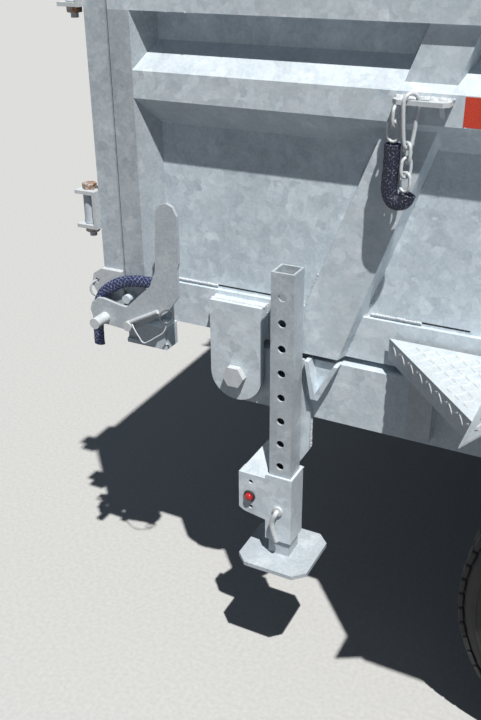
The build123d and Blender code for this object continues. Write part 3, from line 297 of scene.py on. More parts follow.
zinc_plate = galvanised("galvanised_plate", (0.72, 0.79, 0.84), (0.47, 0.535, 0.59))
zinc_tube = galvanised("galvanised_tube", (0.56, 0.615, 0.66), (0.40, 0.45, 0.495), contrast=0.35, shine=0.38)
zinc_leg = galvanised("galvanised_leg", (0.50, 0.55, 0.59), (0.35, 0.39, 0.43), contrast=0.35, shine=0.38)
zinc_step = galvanised("galvanised_step", (0.62, 0.67, 0.70), (0.46, 0.51, 0.55))
zinc_floor = galvanised("worn_floor_zinc", (0.52, 0.555, 0.575), (0.34, 0.37, 0.39), contrast=0.4, shine=0.5)
zinc_wall = galvanised("galvanised_wall", (0.75, 0.83, 0.885), (0.45, 0.52, 0.58), contrast=0.58, shine=0.47)
zinc_bright = galvanised("bright_zinc", (0.65, 0.68, 0.70), (0.48, 0.51, 0.535), flake=70.0, contrast=0.3,
                         shine=0.30, cloud=5.0, facet=0.03)
# The latch levers get a darker zinc than the box, with finer and fainter flakes.
zinc_lever_dark = galvanised("dark_lever_zinc", (0.52, 0.565, 0.60), (0.40, 0.44, 0.475), flake=60.0, contrast=0.25,
                       shine=0.40, cloud=9.0, facet=0.03)
print("zinc finishes done")

# %% [markdown]
# The tyres are matt black rubber with dust, and the rims wear silver paint.
# The rams and the pump box are black. The rams' rods are chromed, with a faint smear over the shine.

# %% Other finishes
rubber, tree, shader, coordinates = start_material("tyre_rubber", (0.028, 0.028, 0.030), roughness=0.72)
dust = noise(tree, coordinates.outputs["Object"], 9.0, 6.0)
dusty = ramp(tree, dust.outputs["Fac"], [(0.45, 0.0), (0.8, 0.6)])
tree.links.new(mix(tree, dusty, (0.024, 0.024, 0.026), (0.085, 0.080, 0.074)), shader.inputs["Base Color"])
fine = noise(tree, coordinates.outputs["Object"], 420.0)
tree.links.new(bumped(tree, fine.outputs["Fac"], 0.2, 0.0006), shader.inputs["Normal"])


def painted(name, colour, roughness, worn=0.12):
    """Paint over steel, a little uneven in colour and shine."""
    material, tree, shader, coordinates = start_material(name, colour, metallic=0.0, roughness=roughness)
    patches = noise(tree, coordinates.outputs["Object"], 7.0, 6.0, 0.65).outputs["Fac"]
    pale = tuple(min(1.0, c + worn * 0.5 + c * worn) for c in colour)
    wear = ramp(tree, patches, [(0.42, 0.0), (0.78, 1.0)])
    tree.links.new(mix(tree, wear, colour, pale), shader.inputs["Base Color"])
    tree.links.new(spread(tree, patches, roughness - 0.08, roughness + 0.15), shader.inputs["Roughness"])
    return material


black_paint = painted("black_paint", (0.018, 0.018, 0.020), 0.35)
satin_black = painted("satin_black", (0.035, 0.036, 0.040), 0.5)
wheel_silver = painted("wheel_silver", (0.55, 0.56, 0.57), 0.38, worn=0.06)
spring_steel = painted("spring_steel", (0.10, 0.10, 0.105), 0.55, worn=0.2)

chrome, tree, shader, coordinates = start_material("chromed_rod", (0.80, 0.81, 0.83), metallic=1.0,
                                                   roughness=0.12)
smear = noise(tree, coordinates.outputs["Object"], 30.0, 3.0)
tree.links.new(spread(tree, smear.outputs["Fac"], 0.06, 0.22), shader.inputs["Roughness"])
print("rubber, paint and chrome done")

# %% [markdown]
# A few small things aren't zinc: the braided sleeves, the red lamp, the reflective tape,
# the rust that has started on the cut bolts, and the painted shade in the gaps between the welds.

# %% Sleeve, lamp, tape, rust and gap finishes
def braided(name, deep, bright, fleck, diamond, first_break, last_break):
    """Woven thread whose pale strands cross it in diamonds, and show here and there."""
    material, tree, shader, coordinates = start_material(name, bright, roughness=0.6)
    along = coordinates.outputs["UV"]
    braid = add_node(tree, "ShaderNodeMapping", {"Vector": along, "Rotation": (0, 0, math.radians(45))})
    threads = add_node(tree, "ShaderNodeTexChecker", {"Vector": braid.outputs["Vector"], "Scale": 330.0,
                                                      "Color1": (*deep, 1), "Color2": (*bright, 1)})
    lattice = add_node(tree, "ShaderNodeTexBrick",
                       {"Vector": braid.outputs["Vector"], "Scale": diamond, "Mortar Size": 0.085,
                        "Mortar Smooth": 0.3, "Brick Width": 1.0, "Row Height": 1.0},
                       offset=0.0, offset_frequency=1, squash=1.0, squash_frequency=1)
    broken = noise(tree, along, 260.0)
    shown = ramp(tree, broken.outputs["Fac"], [(first_break, 0.0), (last_break, 0.85)])
    fleck_mask = mix(tree, 1.0, lattice.outputs["Fac"], shown, blend="MULTIPLY")
    tree.links.new(mix(tree, fleck_mask, threads.outputs["Color"], fleck), shader.inputs["Base Color"])
    tree.links.new(bumped(tree, threads.outputs["Fac"], 0.6, 0.0008), shader.inputs["Normal"])
    return material


navy_mesh = braided("navy_mesh", (0.003, 0.004, 0.010), (0.010, 0.015, 0.046), (0.34, 0.38, 0.46),
                    diamond=165.0, first_break=0.52, last_break=0.64)
blue_mesh = braided("blue_mesh", (0.006, 0.011, 0.045), (0.022, 0.034, 0.140), (0.44, 0.50, 0.64),
                    diamond=132.0, first_break=0.43, last_break=0.56)


def cell_sheet(name, colour, line_colour, roughness=0.28, cells=300.0):
    """Glossy plastic with a fine honeycomb behind it, as on reflective tape and lamp lenses."""
    material, tree, shader, coordinates = start_material(name, colour, roughness=roughness, Coat_Weight=0.15)
    comb = add_node(tree, "ShaderNodeTexVoronoi", {"Vector": coordinates.outputs["Object"], "Scale": cells},
                    feature="DISTANCE_TO_EDGE")
    lines = ramp(tree, comb.outputs["Distance"], [(0.03, 0.0), (0.10, 1.0)])
    tree.links.new(mix(tree, lines, line_colour, colour), shader.inputs["Base Color"])
    return material


tape_red = cell_sheet("tape_red", (0.70, 0.055, 0.018), (0.50, 0.035, 0.014))
tape_white = cell_sheet("tape_white", (0.74, 0.75, 0.74), (0.58, 0.59, 0.60))
lamp_red = cell_sheet("lamp_red", (0.50, 0.012, 0.015), (0.30, 0.006, 0.008), roughness=0.12, cells=420.0)

rusty_zinc, tree, shader, coordinates = start_material("rusty_zinc", (0.45, 0.44, 0.43), metallic=0.2,
                                                       roughness=0.6)
bite = noise(tree, coordinates.outputs["Object"], 75.0, 6.0, 0.7)
grime = noise(tree, coordinates.outputs["Object"], 310.0, 3.0)
rust = ramp(tree, grime.outputs["Fac"], [(0.35, (0.20, 0.075, 0.028)), (0.65, (0.34, 0.15, 0.055))])
rusted = ramp(tree, bite.outputs["Fac"], [(0.44, 0.0), (0.56, 1.0)])
tree.links.new(mix(tree, rusted, (0.46, 0.46, 0.45), rust), shader.inputs["Base Color"])
tree.links.new(bumped(tree, grime.outputs["Fac"], 0.4, 0.0008), shader.inputs["Normal"])

# The gap finish is painted shade: a near-black, a little uneven, for the shade in the slits above the sill.
painted_gap_shade, tree, shader, coordinates = start_material("painted_gap_shade", (0.012, 0.012, 0.013), roughness=0.9)
gap_shade_noise = noise(tree, coordinates.outputs["Object"], 60.0, 4.0)
gap_shade_tone = ramp(tree, gap_shade_noise.outputs["Fac"], [(0.4, (0.008, 0.008, 0.009)), (0.7, (0.030, 0.027, 0.023))])
tree.links.new(gap_shade_tone, shader.inputs["Base Color"])
print("sleeve, lamp, tape, rust and gap finishes done")

# %% [markdown]
# Every CAD node now gets its finish. A node keeps its mesh, and only its material slot changes.

# %% Finishes on the CAD nodes
finishes = {
    "box_walls": zinc_wall, "box_floor": zinc_floor, "corner_posts": zinc_leg, "mid_rails": zinc_plate,
    "top_rails": zinc_plate, "stakes": zinc_plate, "gate_frame": zinc_tube, "latch_lever_right": zinc_lever_dark,
    "latch_lever_left": zinc_lever_dark, "lock_pin_right": zinc_bright, "lock_pin_left": zinc_bright,
    "gate_pins": zinc_bright, "leg_pins": zinc_bright, "hinge_brackets": zinc_bright,
    "pivot_bolts": zinc_bright, "rail_hooks": zinc_bright,
    "drop_leg_right": zinc_leg, "drop_leg_left": zinc_leg, "jack_leg": zinc_bright,
    "jack_post": zinc_bright, "coupler": zinc_bright, "ram_barrels": black_paint, "ram_rods": chrome,
    "pump_box": satin_black, "pump_box_lid": satin_black, "springs": spring_steel, "marker_lamps": lamp_red,
    "lock_bar_right": zinc_bright, "lock_bar_left": zinc_bright, "hook_chains": zinc_bright,
    "chain_sleeves": navy_mesh, "gate_lanyards": blue_mesh, "step_plates": zinc_step, "fenders": zinc_step,
}
for name, node in nodes.items():
    if name.startswith("tyre"):
        finish = rubber
    elif name.startswith("rim"):
        finish = wheel_silver
    else:
        finish = finishes.get(name, zinc_plate)
    node.data.materials.clear()
    node.data.materials.append(finish)
print("finished", len(nodes), "CAD nodes")

# %% [markdown]
# Most small pieces start as a primitive and are then shaped in edit mode.
# These helpers select what an operator should act on, and leave each finished piece's origin at the model's.

# %% Modelling helpers
same_place = 0.00002


def start_piece(name, add, **settings):
    """Add a primitive with nothing else selected, and name it."""
    clear_selection()
    add(**settings)
    piece = bpy.context.active_object
    piece.name = name
    piece.data.name = name
    return piece


def settle(piece, finish, body):
    """Put the piece's place into its mesh, give it its finish and let it ride on its body."""
    piece.data.transform(piece.matrix_world)
    piece.matrix_world = Matrix.Identity(4)
    piece.data.materials.clear()
    piece.data.materials.append(finish)
    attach(piece, body)


def smooth(piece, degrees=35):
    """Shade the piece smooth up to an angle."""
    clear_selection()
    piece.select_set(True)
    bpy.context.view_layer.objects.active = piece
    bpy.ops.object.shade_smooth_by_angle(angle=math.radians(degrees))


def bevelled_block(name, low, high, width=0.001, segments=1):
    """A block between two corners whose edges are bevelled in edit mode."""
    low, high = Vector(low), Vector(high)
    piece = start_piece(name, bpy.ops.mesh.primitive_cube_add, size=1, location=(low + high) / 2,
                        scale=high - low)
    bpy.ops.object.transform_apply(location=False, rotation=False, scale=True)
    bpy.ops.object.mode_set(mode="EDIT")
    bpy.ops.mesh.select_all(action="SELECT")
    bpy.ops.mesh.bevel(offset=width, segments=segments)
    bpy.ops.object.mode_set(mode="OBJECT")
    return piece


def trace(name, points):
    """A chain of vertices, made by pulling one vertex from point to point."""
    piece = start_piece(name, bpy.ops.mesh.primitive_plane_add, size=0.01, location=(0, 0, 0))
    bpy.ops.object.mode_set(mode="EDIT")
    bpy.ops.mesh.select_all(action="SELECT")
    bpy.ops.mesh.merge(type="CENTER")
    bpy.ops.transform.translate(value=points[0])
    for before, after in zip(points, points[1:]):
        step = Vector(after) - Vector(before)
        bpy.ops.mesh.extrude_region_move(TRANSFORM_OT_translate={"value": step})
    return piece


def lathe(name, profile, centre, axis, steps=32):
    """Turn a traced profile about an axis. The profile gives distances along the axis and out from it."""
    axis = Vector(axis).normalized()
    out = axis.orthogonal().normalized()
    centre = Vector(centre)
    piece = trace(name, [centre + axis * along + out * radius for along, radius in profile])
    bpy.ops.mesh.select_all(action="SELECT")
    bpy.ops.mesh.spin(steps=steps, angle=2 * math.pi, center=centre, axis=axis)
    bpy.ops.mesh.select_all(action="SELECT")
    bpy.ops.mesh.remove_doubles(threshold=same_place)
    bpy.ops.mesh.normals_make_consistent(inside=False)
    bpy.ops.object.mode_set(mode="OBJECT")
    smooth(piece)
    return piece


def scatter(name, pattern, places):
    """One mesh that holds a copy of the pattern at each place, and the pattern is then removed."""
    merged = bmesh.new()
    for place in places:
        before = len(merged.verts)
        merged.from_mesh(pattern.data)
        merged.verts.ensure_lookup_table()
        bmesh.ops.transform(merged, matrix=place, verts=merged.verts[before:])
    mesh = bpy.data.meshes.new(name)
    merged.to_mesh(mesh)
    merged.free()
    bpy.data.objects.remove(pattern)
    piece = bpy.data.objects.new(name, mesh)
    bpy.context.scene.collection.objects.link(piece)
    return piece


def mirrored(piece, name):
    """A copy of a piece on the trailer's other side, with its own mesh and its faces outwards."""
    copy = bpy.data.objects.new(name, piece.data.copy())
    bpy.context.scene.collection.objects.link(copy)
    copy.data.transform(Matrix.Scale(-1, 4, (0, 1, 0)) @ piece.matrix_world)
    copy.data.flip_normals()
    return copy


seam = -2.441


def at(x):
    """Turn millimetres forward of the rear seam into a model x in metres."""
    return seam + x / 1000


# %% [markdown]
# One tyre shows its tread at the picture's edge, so each tyre has a carcass and six rows of blocks.
# The carcass is a traced section turned about the axle, with three low rings on each of its walls.
# A block is a bevelled cube that is copied round the axle, and every second row is staggered by half a pitch.

# %% Tyres
tyre_radius = 0.388
tread_depth = 0.009
tread_bevel = 0.0022
tread_sink = 0.001
tread_cut = 0.0004
shoulder_drop = 0.0065
shoulder_reach = 0.1
tyre_profile = [
    (-0.080, 0.206), (-0.094, 0.214), (-0.104, 0.232), (-0.1105, 0.268), (-0.1125, 0.300), (-0.1105, 0.330),
    (-0.104, 0.352), (-0.095, 0.366), (-0.084, 0.3745), (-0.060, 0.3785), (0.0, 0.3795), (0.060, 0.3785),
    (0.084, 0.3745), (0.095, 0.366), (0.104, 0.352), (0.1105, 0.330), (0.1125, 0.300), (0.1105, 0.268),
    (0.104, 0.232), (0.094, 0.214), (0.080, 0.206),
]
tread_rows = [
    # across, half width, half length, sideways skew
    (-0.080, 0.0135, 0.0160, 0.35),
    (-0.046, 0.0150, 0.0150, -0.25),
    (-0.010, 0.0140, 0.0145, 0.25),
    (0.026, 0.0150, 0.0150, -0.25),
    (0.062, 0.0135, 0.0150, 0.25),
    (0.088, 0.0105, 0.0160, -0.35),
]
tread_pitches = 62
ring_half_width = 0.004
ring_half_top = 0.0015
ring_rows = [
    # radius, height, where the wall is at that radius
    (0.246, 0.0012, 0.1063), (0.322, 0.0014, 0.1110), (0.343, 0.0012, 0.1070),
]


def tread_block(across, half_width, half_length, skew, offset):
    """One block of the tread on top of the tyre, turned about the axle by an offset."""
    block = start_piece("tread_block", bpy.ops.mesh.primitive_cube_add, size=1,
                        location=(0, across, tyre_radius - tread_depth / 2 - tread_sink),
                        scale=(2 * half_length, 2 * half_width, tread_depth + 2 * tread_sink))
    bpy.ops.object.transform_apply(location=True, rotation=False, scale=True)
    bpy.ops.object.mode_set(mode="EDIT")
    bpy.ops.mesh.select_all(action="SELECT")
    bpy.ops.mesh.bevel(offset=tread_bevel, segments=1)
    bpy.ops.object.mode_set(mode="OBJECT")
    for vertex in block.data.vertices:
        vertex.co.x += skew * (vertex.co.y - across)
        round_off = abs(vertex.co.y) / shoulder_reach
        vertex.co.z -= shoulder_drop * round_off ** 4
        vertex.co.z = min(vertex.co.z, tyre_radius - tread_cut)
    block.data.transform(Matrix.Rotation(offset, 4, "Y"))
    return block


def build_tyre(name, centre):
    """A carcass with rings moulded in its walls and rows of tread blocks round it."""
    carcass = lathe(name, tyre_profile, (0, 0, 0), (0, 1, 0), steps=96)
    rings = []
    for side in (-1, 1):
        for radius, lift, wall in ring_rows:
            ring_profile = [(side * (wall - 0.002), radius - ring_half_width),
                            (side * (wall + lift), radius - ring_half_top),
                            (side * (wall + lift), radius + ring_half_top),
                            (side * (wall - 0.003), radius + ring_half_width)]
            rings.append(lathe("wall_ring", ring_profile, (0, 0, 0), (0, 1, 0), steps=96))
    pitch = 2 * math.pi / tread_pitches
    for number, (across, half_width, half_length, skew) in enumerate(tread_rows):
        block = tread_block(across, half_width, half_length, skew, pitch * 0.5 * (number % 2))
        rings.append(scatter("tread_row", block,
                             [Matrix.Rotation(pitch * i, 4, "Y") for i in range(tread_pitches)]))
    clear_selection()
    for piece in rings + [carcass]:
        piece.select_set(True)
    bpy.context.view_layer.objects.active = carcass
    bpy.ops.object.join()
    carcass.data.transform(Matrix.Translation(centre))
    return carcass


axle_xs = {"rear": 1202, "front": 2082}
wheel_y = 0.8995
wheel_places = {f"{end}_{side}": (at(x), way * wheel_y)
                for end, x in axle_xs.items() for side, way in (("right", -1), ("left", 1))}
for corner, (x, y) in wheel_places.items():
    tyre = build_tyre(f"treaded_tyre_{corner}", (x, y, tyre_radius))
    settle(tyre, rubber, f"wheel_{corner}")
    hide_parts(f"tyre_{corner}")
print("tyres done")

# %% [markdown]
# Each wheel is held by six nuts round a hub with a pressed cap.
# One nut is a six-sided cylinder with bevelled edges, and the rest are copies turned about the axle.

# %% Wheel nuts and caps
def hex_nut(name, radius, height):
    """A hexagon with bevelled edges that stands on the XY plane."""
    nut = start_piece(name, bpy.ops.mesh.primitive_cylinder_add, vertices=6, radius=radius, depth=height,
                      location=(0, 0, height / 2))
    bpy.ops.object.transform_apply(location=True, rotation=False, scale=False)
    bpy.ops.object.mode_set(mode="EDIT")
    bpy.ops.mesh.select_all(action="SELECT")
    bpy.ops.mesh.bevel(offset=radius * 0.09, segments=2)
    bpy.ops.object.mode_set(mode="OBJECT")
    return nut


nut_radius = 0.0125
wheel_nut_height = 0.020
nut_circle = 0.07488
nut_seat = 0.018
cap_seat = 0.012
cap_profile = [(0.060, 0.0), (0.0605, 0.020), (0.058, 0.030), (0.052, 0.0345), (0.040, 0.036), (0.030, 0.036)]
for corner, (x, y) in wheel_places.items():
    side = -1 if y < 0 else 1
    hub = Matrix.Translation((x, y + side * nut_seat, tyre_radius))
    out = Matrix.Translation((0, 0, nut_circle)) @ Matrix.Rotation(-side * math.pi / 2, 4, "X")
    places = [hub @ Matrix.Rotation(math.radians(60 * i), 4, "Y") @ out for i in range(6)]
    nuts = scatter(f"wheel_nuts_{corner}", hex_nut("wheel_nut", nut_radius, wheel_nut_height), places)
    settle(nuts, zinc_bright, f"wheel_{corner}")
    cap = lathe(f"hub_cap_{corner}", cap_profile, (0, 0, 0), (0, 1, 0), steps=32)
    if side < 0:
        cap.data.transform(Matrix.Scale(-1, 4, (0, 1, 0)))
        cap.data.flip_normals()
    cap.data.transform(Matrix.Translation((x, y + side * cap_seat, tyre_radius)))
    settle(cap, zinc_bright, f"wheel_{corner}")
print("wheel nuts and caps done")


# %% [markdown]
# The fenders and steps are chequer plate, rolled with short raised bars that grip a boot.
# One bar is a stretched cylinder with eight sides and a narrowed top.
# It is copied over each panel, and turned by a quarter from one cell to the next.

# %% Chequer plate
cell = 0.0195
bar_half_length = 0.0125
bar_half_width = 0.0036
bar_height = 0.0014
bar_sink = 0.0004
bar_top_share = 0.62
bar_margin = 0.010


def inside(point, outline):
    """Whether a point lies inside an outline in the panel's own two lengths."""
    crossed = 0
    for first, second in zip(outline, outline[-1:] + outline[:-1]):
        if (first[1] > point[1]) != (second[1] > point[1]):
            share = (second[0] - first[0]) * (point[1] - first[1]) / (second[1] - first[1])
            crossed += point[0] < share + first[0]
    return crossed % 2 == 1


def panel_places(origin, along, across, outline):
    """Matrices for the bars of one flat panel, whose outline is given in its two directions."""
    along, across = Vector(along).normalized(), Vector(across).normalized()
    normal = along.cross(across)
    axes = Matrix((along, across, normal)).transposed().to_4x4()
    highest = [max(p[i] for p in outline) for i in (0, 1)]
    lowest = [min(p[i] for p in outline) for i in (0, 1)]
    panel = Matrix.Translation(Vector(origin)) @ axes
    places = []
    for i in range(int((highest[0] - lowest[0]) / cell) + 1):
        for j in range(int((highest[1] - lowest[1]) / cell) + 1):
            u, v = lowest[0] + (i + 0.5) * cell, lowest[1] + (j + 0.5) * cell
            corners = [(u + a, v + b) for a in (-bar_margin, bar_margin) for b in (-bar_margin, bar_margin)]
            if all(inside(corner, outline) for corner in corners):
                turn_bar = Matrix.Rotation(math.radians(45 if (i + j) % 2 else -45), 4, "Z")
                places.append(panel @ Matrix.Translation((u, v, 0)) @ turn_bar)
    return places


def chequer_bar():
    """One raised bar, narrowed towards its top."""
    bar = start_piece("chequer_bar", bpy.ops.mesh.primitive_cylinder_add, vertices=8, radius=1, depth=1,
                      location=(0, 0, 0))
    for vertex in bar.data.vertices:
        narrow = bar_top_share if vertex.co.z > 0 else 1.0
        vertex.co = (vertex.co.x * bar_half_length * narrow, vertex.co.y * bar_half_width * narrow,
                     bar_height if vertex.co.z > 0 else -bar_sink)
    return bar


# rear, front and slope are in millimetres along the trailer, and the rest is in metres
fender = {"rear": 832, "front": 2452, "low": 0.895, "top": 0.985, "in": 0.938, "out": 1.250, "slope": 90}
flat_length = (fender["front"] - fender["rear"] - 2 * fender["slope"]) / 1000
fender_width = fender["out"] - fender["in"]
slope_length = math.hypot(fender["slope"] / 1000, fender["top"] - fender["low"])
step_inner = (606, 0.915)
step_outer = (832, 1.164)
step_skirt = 0.045
front_step_gap = 0.021
run, fall = (step_outer[0] - step_inner[0]) / 1000, step_outer[1] - step_inner[1]
slant = Vector((run, -fall, 0))
flat_outline = [(0, 0), (flat_length, 0), (flat_length, fender_width), (0, fender_width)]
slope_outline = [(0, 0), (slope_length, 0), (slope_length, fender_width), (0, fender_width)]
fender_panels = [
    # origin, along, across, outline
    ((at(fender["rear"] + fender["slope"]), -fender["out"], fender["top"]), (1, 0, 0), (0, 1, 0),
     flat_outline),
    ((at(fender["rear"]), -fender["out"], fender["low"]), (1, 0, 1), (0, 1, 0), slope_outline),
    ((at(fender["front"] - fender["slope"]), -fender["out"], fender["top"]), (1, 0, -1), (0, 1, 0),
     slope_outline),
]
step_panels = [
    ((at(step_inner[0]), -step_outer[1], fender["low"]), (1, 0, 0), (0, 1, 0),
     [(0, fall), (run, 0), (run, fall)]),
    ((at(step_inner[0]), -step_inner[1], fender["low"]), tuple(slant), (0, 0, 1),
     [(0, -step_skirt), (slant.length, -step_skirt), (slant.length, 0), (0, 0)]),
    ((at(fender["front"]), -step_outer[1], fender["low"]), (1, 0, 0), (0, 1, 0),
     [(0, 0), (0, fall - front_step_gap), (run, fall - front_step_gap)]),
]
for name, panels in (("fender_chequer", fender_panels), ("step_chequer", step_panels)):
    places = [place for panel in panels for place in panel_places(*panel)]
    right_bars = scatter(f"{name}_right", chequer_bar(), places)
    settle(right_bars, zinc_bright, "chassis")
    settle(mirrored(right_bars, f"{name}_left"), zinc_bright, "chassis")
    print(name, len(places), "bars on each side")

# %% [markdown]
# Welds join the stakes, plates and rails. A bead is a row of ripples, one for each pool that froze.
# One flattened ball is copied along a line, each copy a little different in size, and zinc covers the row.

# %% Weld beads
random.seed(7)
ripple_spacing = 0.95
ripple_drift = 0.0004


def bead(lines, name, body, radius=0.0034):
    """Rows of flattened balls along lines, each line given by its two ends in rear-seam millimetres."""
    ball = start_piece("weld_ripple", bpy.ops.mesh.primitive_ico_sphere_add, subdivisions=1, radius=1,
                       location=(0, 0, 0))
    places = []
    for first, last in lines:
        a = Vector((at(first[0]), first[1] / 1000, first[2] / 1000))
        b = Vector((at(last[0]), last[1] / 1000, last[2] / 1000))
        direction = (b - a).normalized()
        lie = direction.to_track_quat("X", "Z").to_matrix().to_4x4()
        count = max(2, int((b - a).length / (radius * ripple_spacing)))
        for i in range(count + 1):
            size = radius * random.uniform(0.88, 1.10)
            drift = Vector([random.uniform(-ripple_drift, ripple_drift) for _ in range(3)])
            place = a.lerp(b, i / count) + drift
            squash = Matrix.Diagonal((size, size * 1.05, size * 0.85, 1))
            places.append(Matrix.Translation(place) @ lie @ squash)
    piece = scatter(name, ball, places)
    for polygon in piece.data.polygons:
        polygon.use_smooth = True
    settle(piece, zinc_bright, body)
    settle(mirrored(piece, f"{name}_left"), zinc_bright, body)


# the stakes lean forward and narrow as they rise, so their front edge leans less than the rear one
stake_base, stake_height = 830, 660
foot_width, head_width = 127, 99
stake_lean = math.tan(math.radians(21.0))
front_lean = stake_lean - (foot_width - head_width) / stake_height
wall_y, rail_y, side_rail_y = -893, -944, -919
sill_y, sill_top = -893.5, 930.5
weld_length = 70
stake_lines = []
for foot in (387, 1427, 2467):
    for low, high in ((925, 1270), (1434, 1486)):
        tall = high - low > 200
        for span in ((low, low + weld_length), (high - weld_length, high)) if tall else ((low, high),):
            for start, lean in ((foot - 10, stake_lean), (foot + foot_width, front_lean)):
                stake_lines.append([(start + lean * (z - stake_base), wall_y, z) for z in span])
bead(stake_lines, "stake_welds", "box", radius=0.0030)
sill_spans = [(84, 206), (560, 660), (900, 960), (1200, 1260), (1700, 1760), (2200, 2260), (2800, 2860),
              (3300, 3360)]
plate_lines = [((208, -923, 914), (332, -923, 914)), ((208, -905, 914), (208, -905, 836)),
               ((332, -905, 914), (332, -905, 836))]
plate_lines += [((first, sill_y, sill_top), (last, sill_y, sill_top)) for first, last in sill_spans]
plate_lines += [((595, rail_y, 1371), (695, rail_y, 1371)), ((0, rail_y, 786), (103, rail_y, 786))]
bead(plate_lines, "box_welds", "box")
chassis_spans = [
    # first x and z, last x and z
    ((447, 690), (447, 600)), ((360, 675), (430, 675)), ((440, 819), (460, 740)), ((506, 819), (468, 740)),
    ((662, 695), (662, 812)), ((712, 695), (712, 812)),
]
chassis_lines = [((372, -930, 546), (434, -930, 546))]
chassis_lines += [((x0, side_rail_y, z0), (x1, side_rail_y, z1)) for (x0, z0), (x1, z1) in chassis_spans]
bead(chassis_lines, "chassis_welds", "chassis")
gate_lines = [((-54, -892, 910), (-8, -892, 910)), ((-54, -892, 1541), (-8, -892, 1541)),
              ((-8, rail_y, 945), (-56, rail_y, 945))]
bead(gate_lines, "gate_welds", "gate")
print("welds done")

# %% [markdown]
# Bent wires and chain links follow curves.
# So these pieces start as a curve with a round section, which is then turned into a mesh.

# %% Bent bars
ring_steps = 16


def bent_bar(name, points, radius, closed=False, handles="AUTO", sides=2):
    """A round bar through points, made from a curve with a bevel and turned into a mesh."""
    piece = start_curve(name)
    spline = piece.data.splines[0]
    spline.bezier_points.add(len(points) - 2)
    for point, place in zip(spline.bezier_points, points):
        point.co = place
        point.handle_left_type = handles
        point.handle_right_type = handles
    spline.use_cyclic_u = closed
    piece.data.bevel_depth = radius
    piece.data.bevel_resolution = sides
    piece.data.resolution_u = 6
    piece.data.use_fill_caps = not closed
    bpy.ops.object.convert(target="MESH")
    piece = bpy.context.active_object
    piece.name = name
    return piece


def start_curve(name):
    """A curve of two points with nothing else selected."""
    clear_selection()
    bpy.ops.curve.primitive_bezier_curve_add(location=(0, 0, 0))
    piece = bpy.context.active_object
    piece.name = name
    piece.data.dimensions = "3D"
    return piece


def joined(name, parts):
    """Join several meshes into the first one."""
    clear_selection()
    for part in parts:
        part.select_set(True)
    bpy.context.view_layer.objects.active = parts[0]
    bpy.ops.object.join()
    whole = bpy.context.active_object
    whole.name = name
    return whole


def long_ring(centre, length, width, wire, turn_degrees, taper=1.0):
    """Points of an upright ring with straight sides, and a narrower foot where the taper is under one."""
    across = Vector((math.cos(math.radians(turn_degrees)), math.sin(math.radians(turn_degrees)), 0))
    radius = (width - wire) / 2000
    straight = (length - wire) / 2000 - radius
    points = []
    for step in range(ring_steps):
        angle = 2 * math.pi * step / ring_steps
        side, rise = math.cos(angle), math.sin(angle)
        wide = radius * (taper if rise < -0.1 else 1.0)
        lift = Vector((0, 0, radius * rise + math.copysign(straight, rise)))
        points.append(Vector(centre) + across * wide * side + lift)
    return points


# %% [markdown]
# A short chain hangs on each rail hook, with one long link on the hook itself.
# Its two ends go down into a braided sleeve, which the next cell makes.
# Each link is turned across its neighbour.

# %% Chain on the rail hooks
chain_y = -0.9741
link_rows = [
    # x, z, length, width, wire, turn, taper
    (630, 1335.5, 100, 37, 7.6, 50, 0.62),
    (630, 1281.6, 41, 25, 6.4, -40, 1.0),
    (630, 1255.6, 41, 25, 6.4, 50, 1.0),
    (630, 1229.6, 41, 27, 6.4, -20, 1.0),
    (603, 1341.2, 41, 25, 6.4, 90, 1.0),
    (603, 1315.2, 41, 25, 6.4, 0, 1.0),
]
rings = []
for x, z, length, width, wire, turn_degrees, taper in link_rows:
    ring = long_ring((at(x), chain_y, z / 1000), length, width, wire, turn_degrees, taper)
    rings.append(bent_bar("chain_link", ring, wire / 2000, closed=True))
chain_right = joined("chain_right", rings)
chain_left = mirrored(chain_right, "chain_left")
chains = joined("hook_chain_links", [chain_right, chain_left])
settle(chains, zinc_bright, "box")
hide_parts("hook_chains")
print("chains done")

# %% [markdown]
# A braided sleeve on each chain and on each of the gate's lanyards keeps them from scratching the zinc.
# The sleeve is a grid that is rolled round a path. Its width goes round the path and its length along it.
# The UV keeps real lengths, so the braid has one size.

# %% Braided sleeves
row_step = 0.0022
edge_step = 0.0008
hem = 0.0096
around = 28
fold_depth = 0.035


def path_points(points):
    """Places along a smooth line through the points, close together."""
    guide = start_curve("sleeve_path")
    spline = guide.data.splines[0]
    spline.bezier_points.add(len(points) - 2)
    for bezier, place in zip(spline.bezier_points, points):
        bezier.co = place
        bezier.handle_left_type = "AUTO"
        bezier.handle_right_type = "AUTO"
    guide.data.resolution_u = 24
    mesh = bpy.data.meshes.new_from_object(guide)
    places = [vertex.co.copy() for vertex in mesh.vertices]
    bpy.data.meshes.remove(mesh)
    bpy.data.objects.remove(guide)
    return places


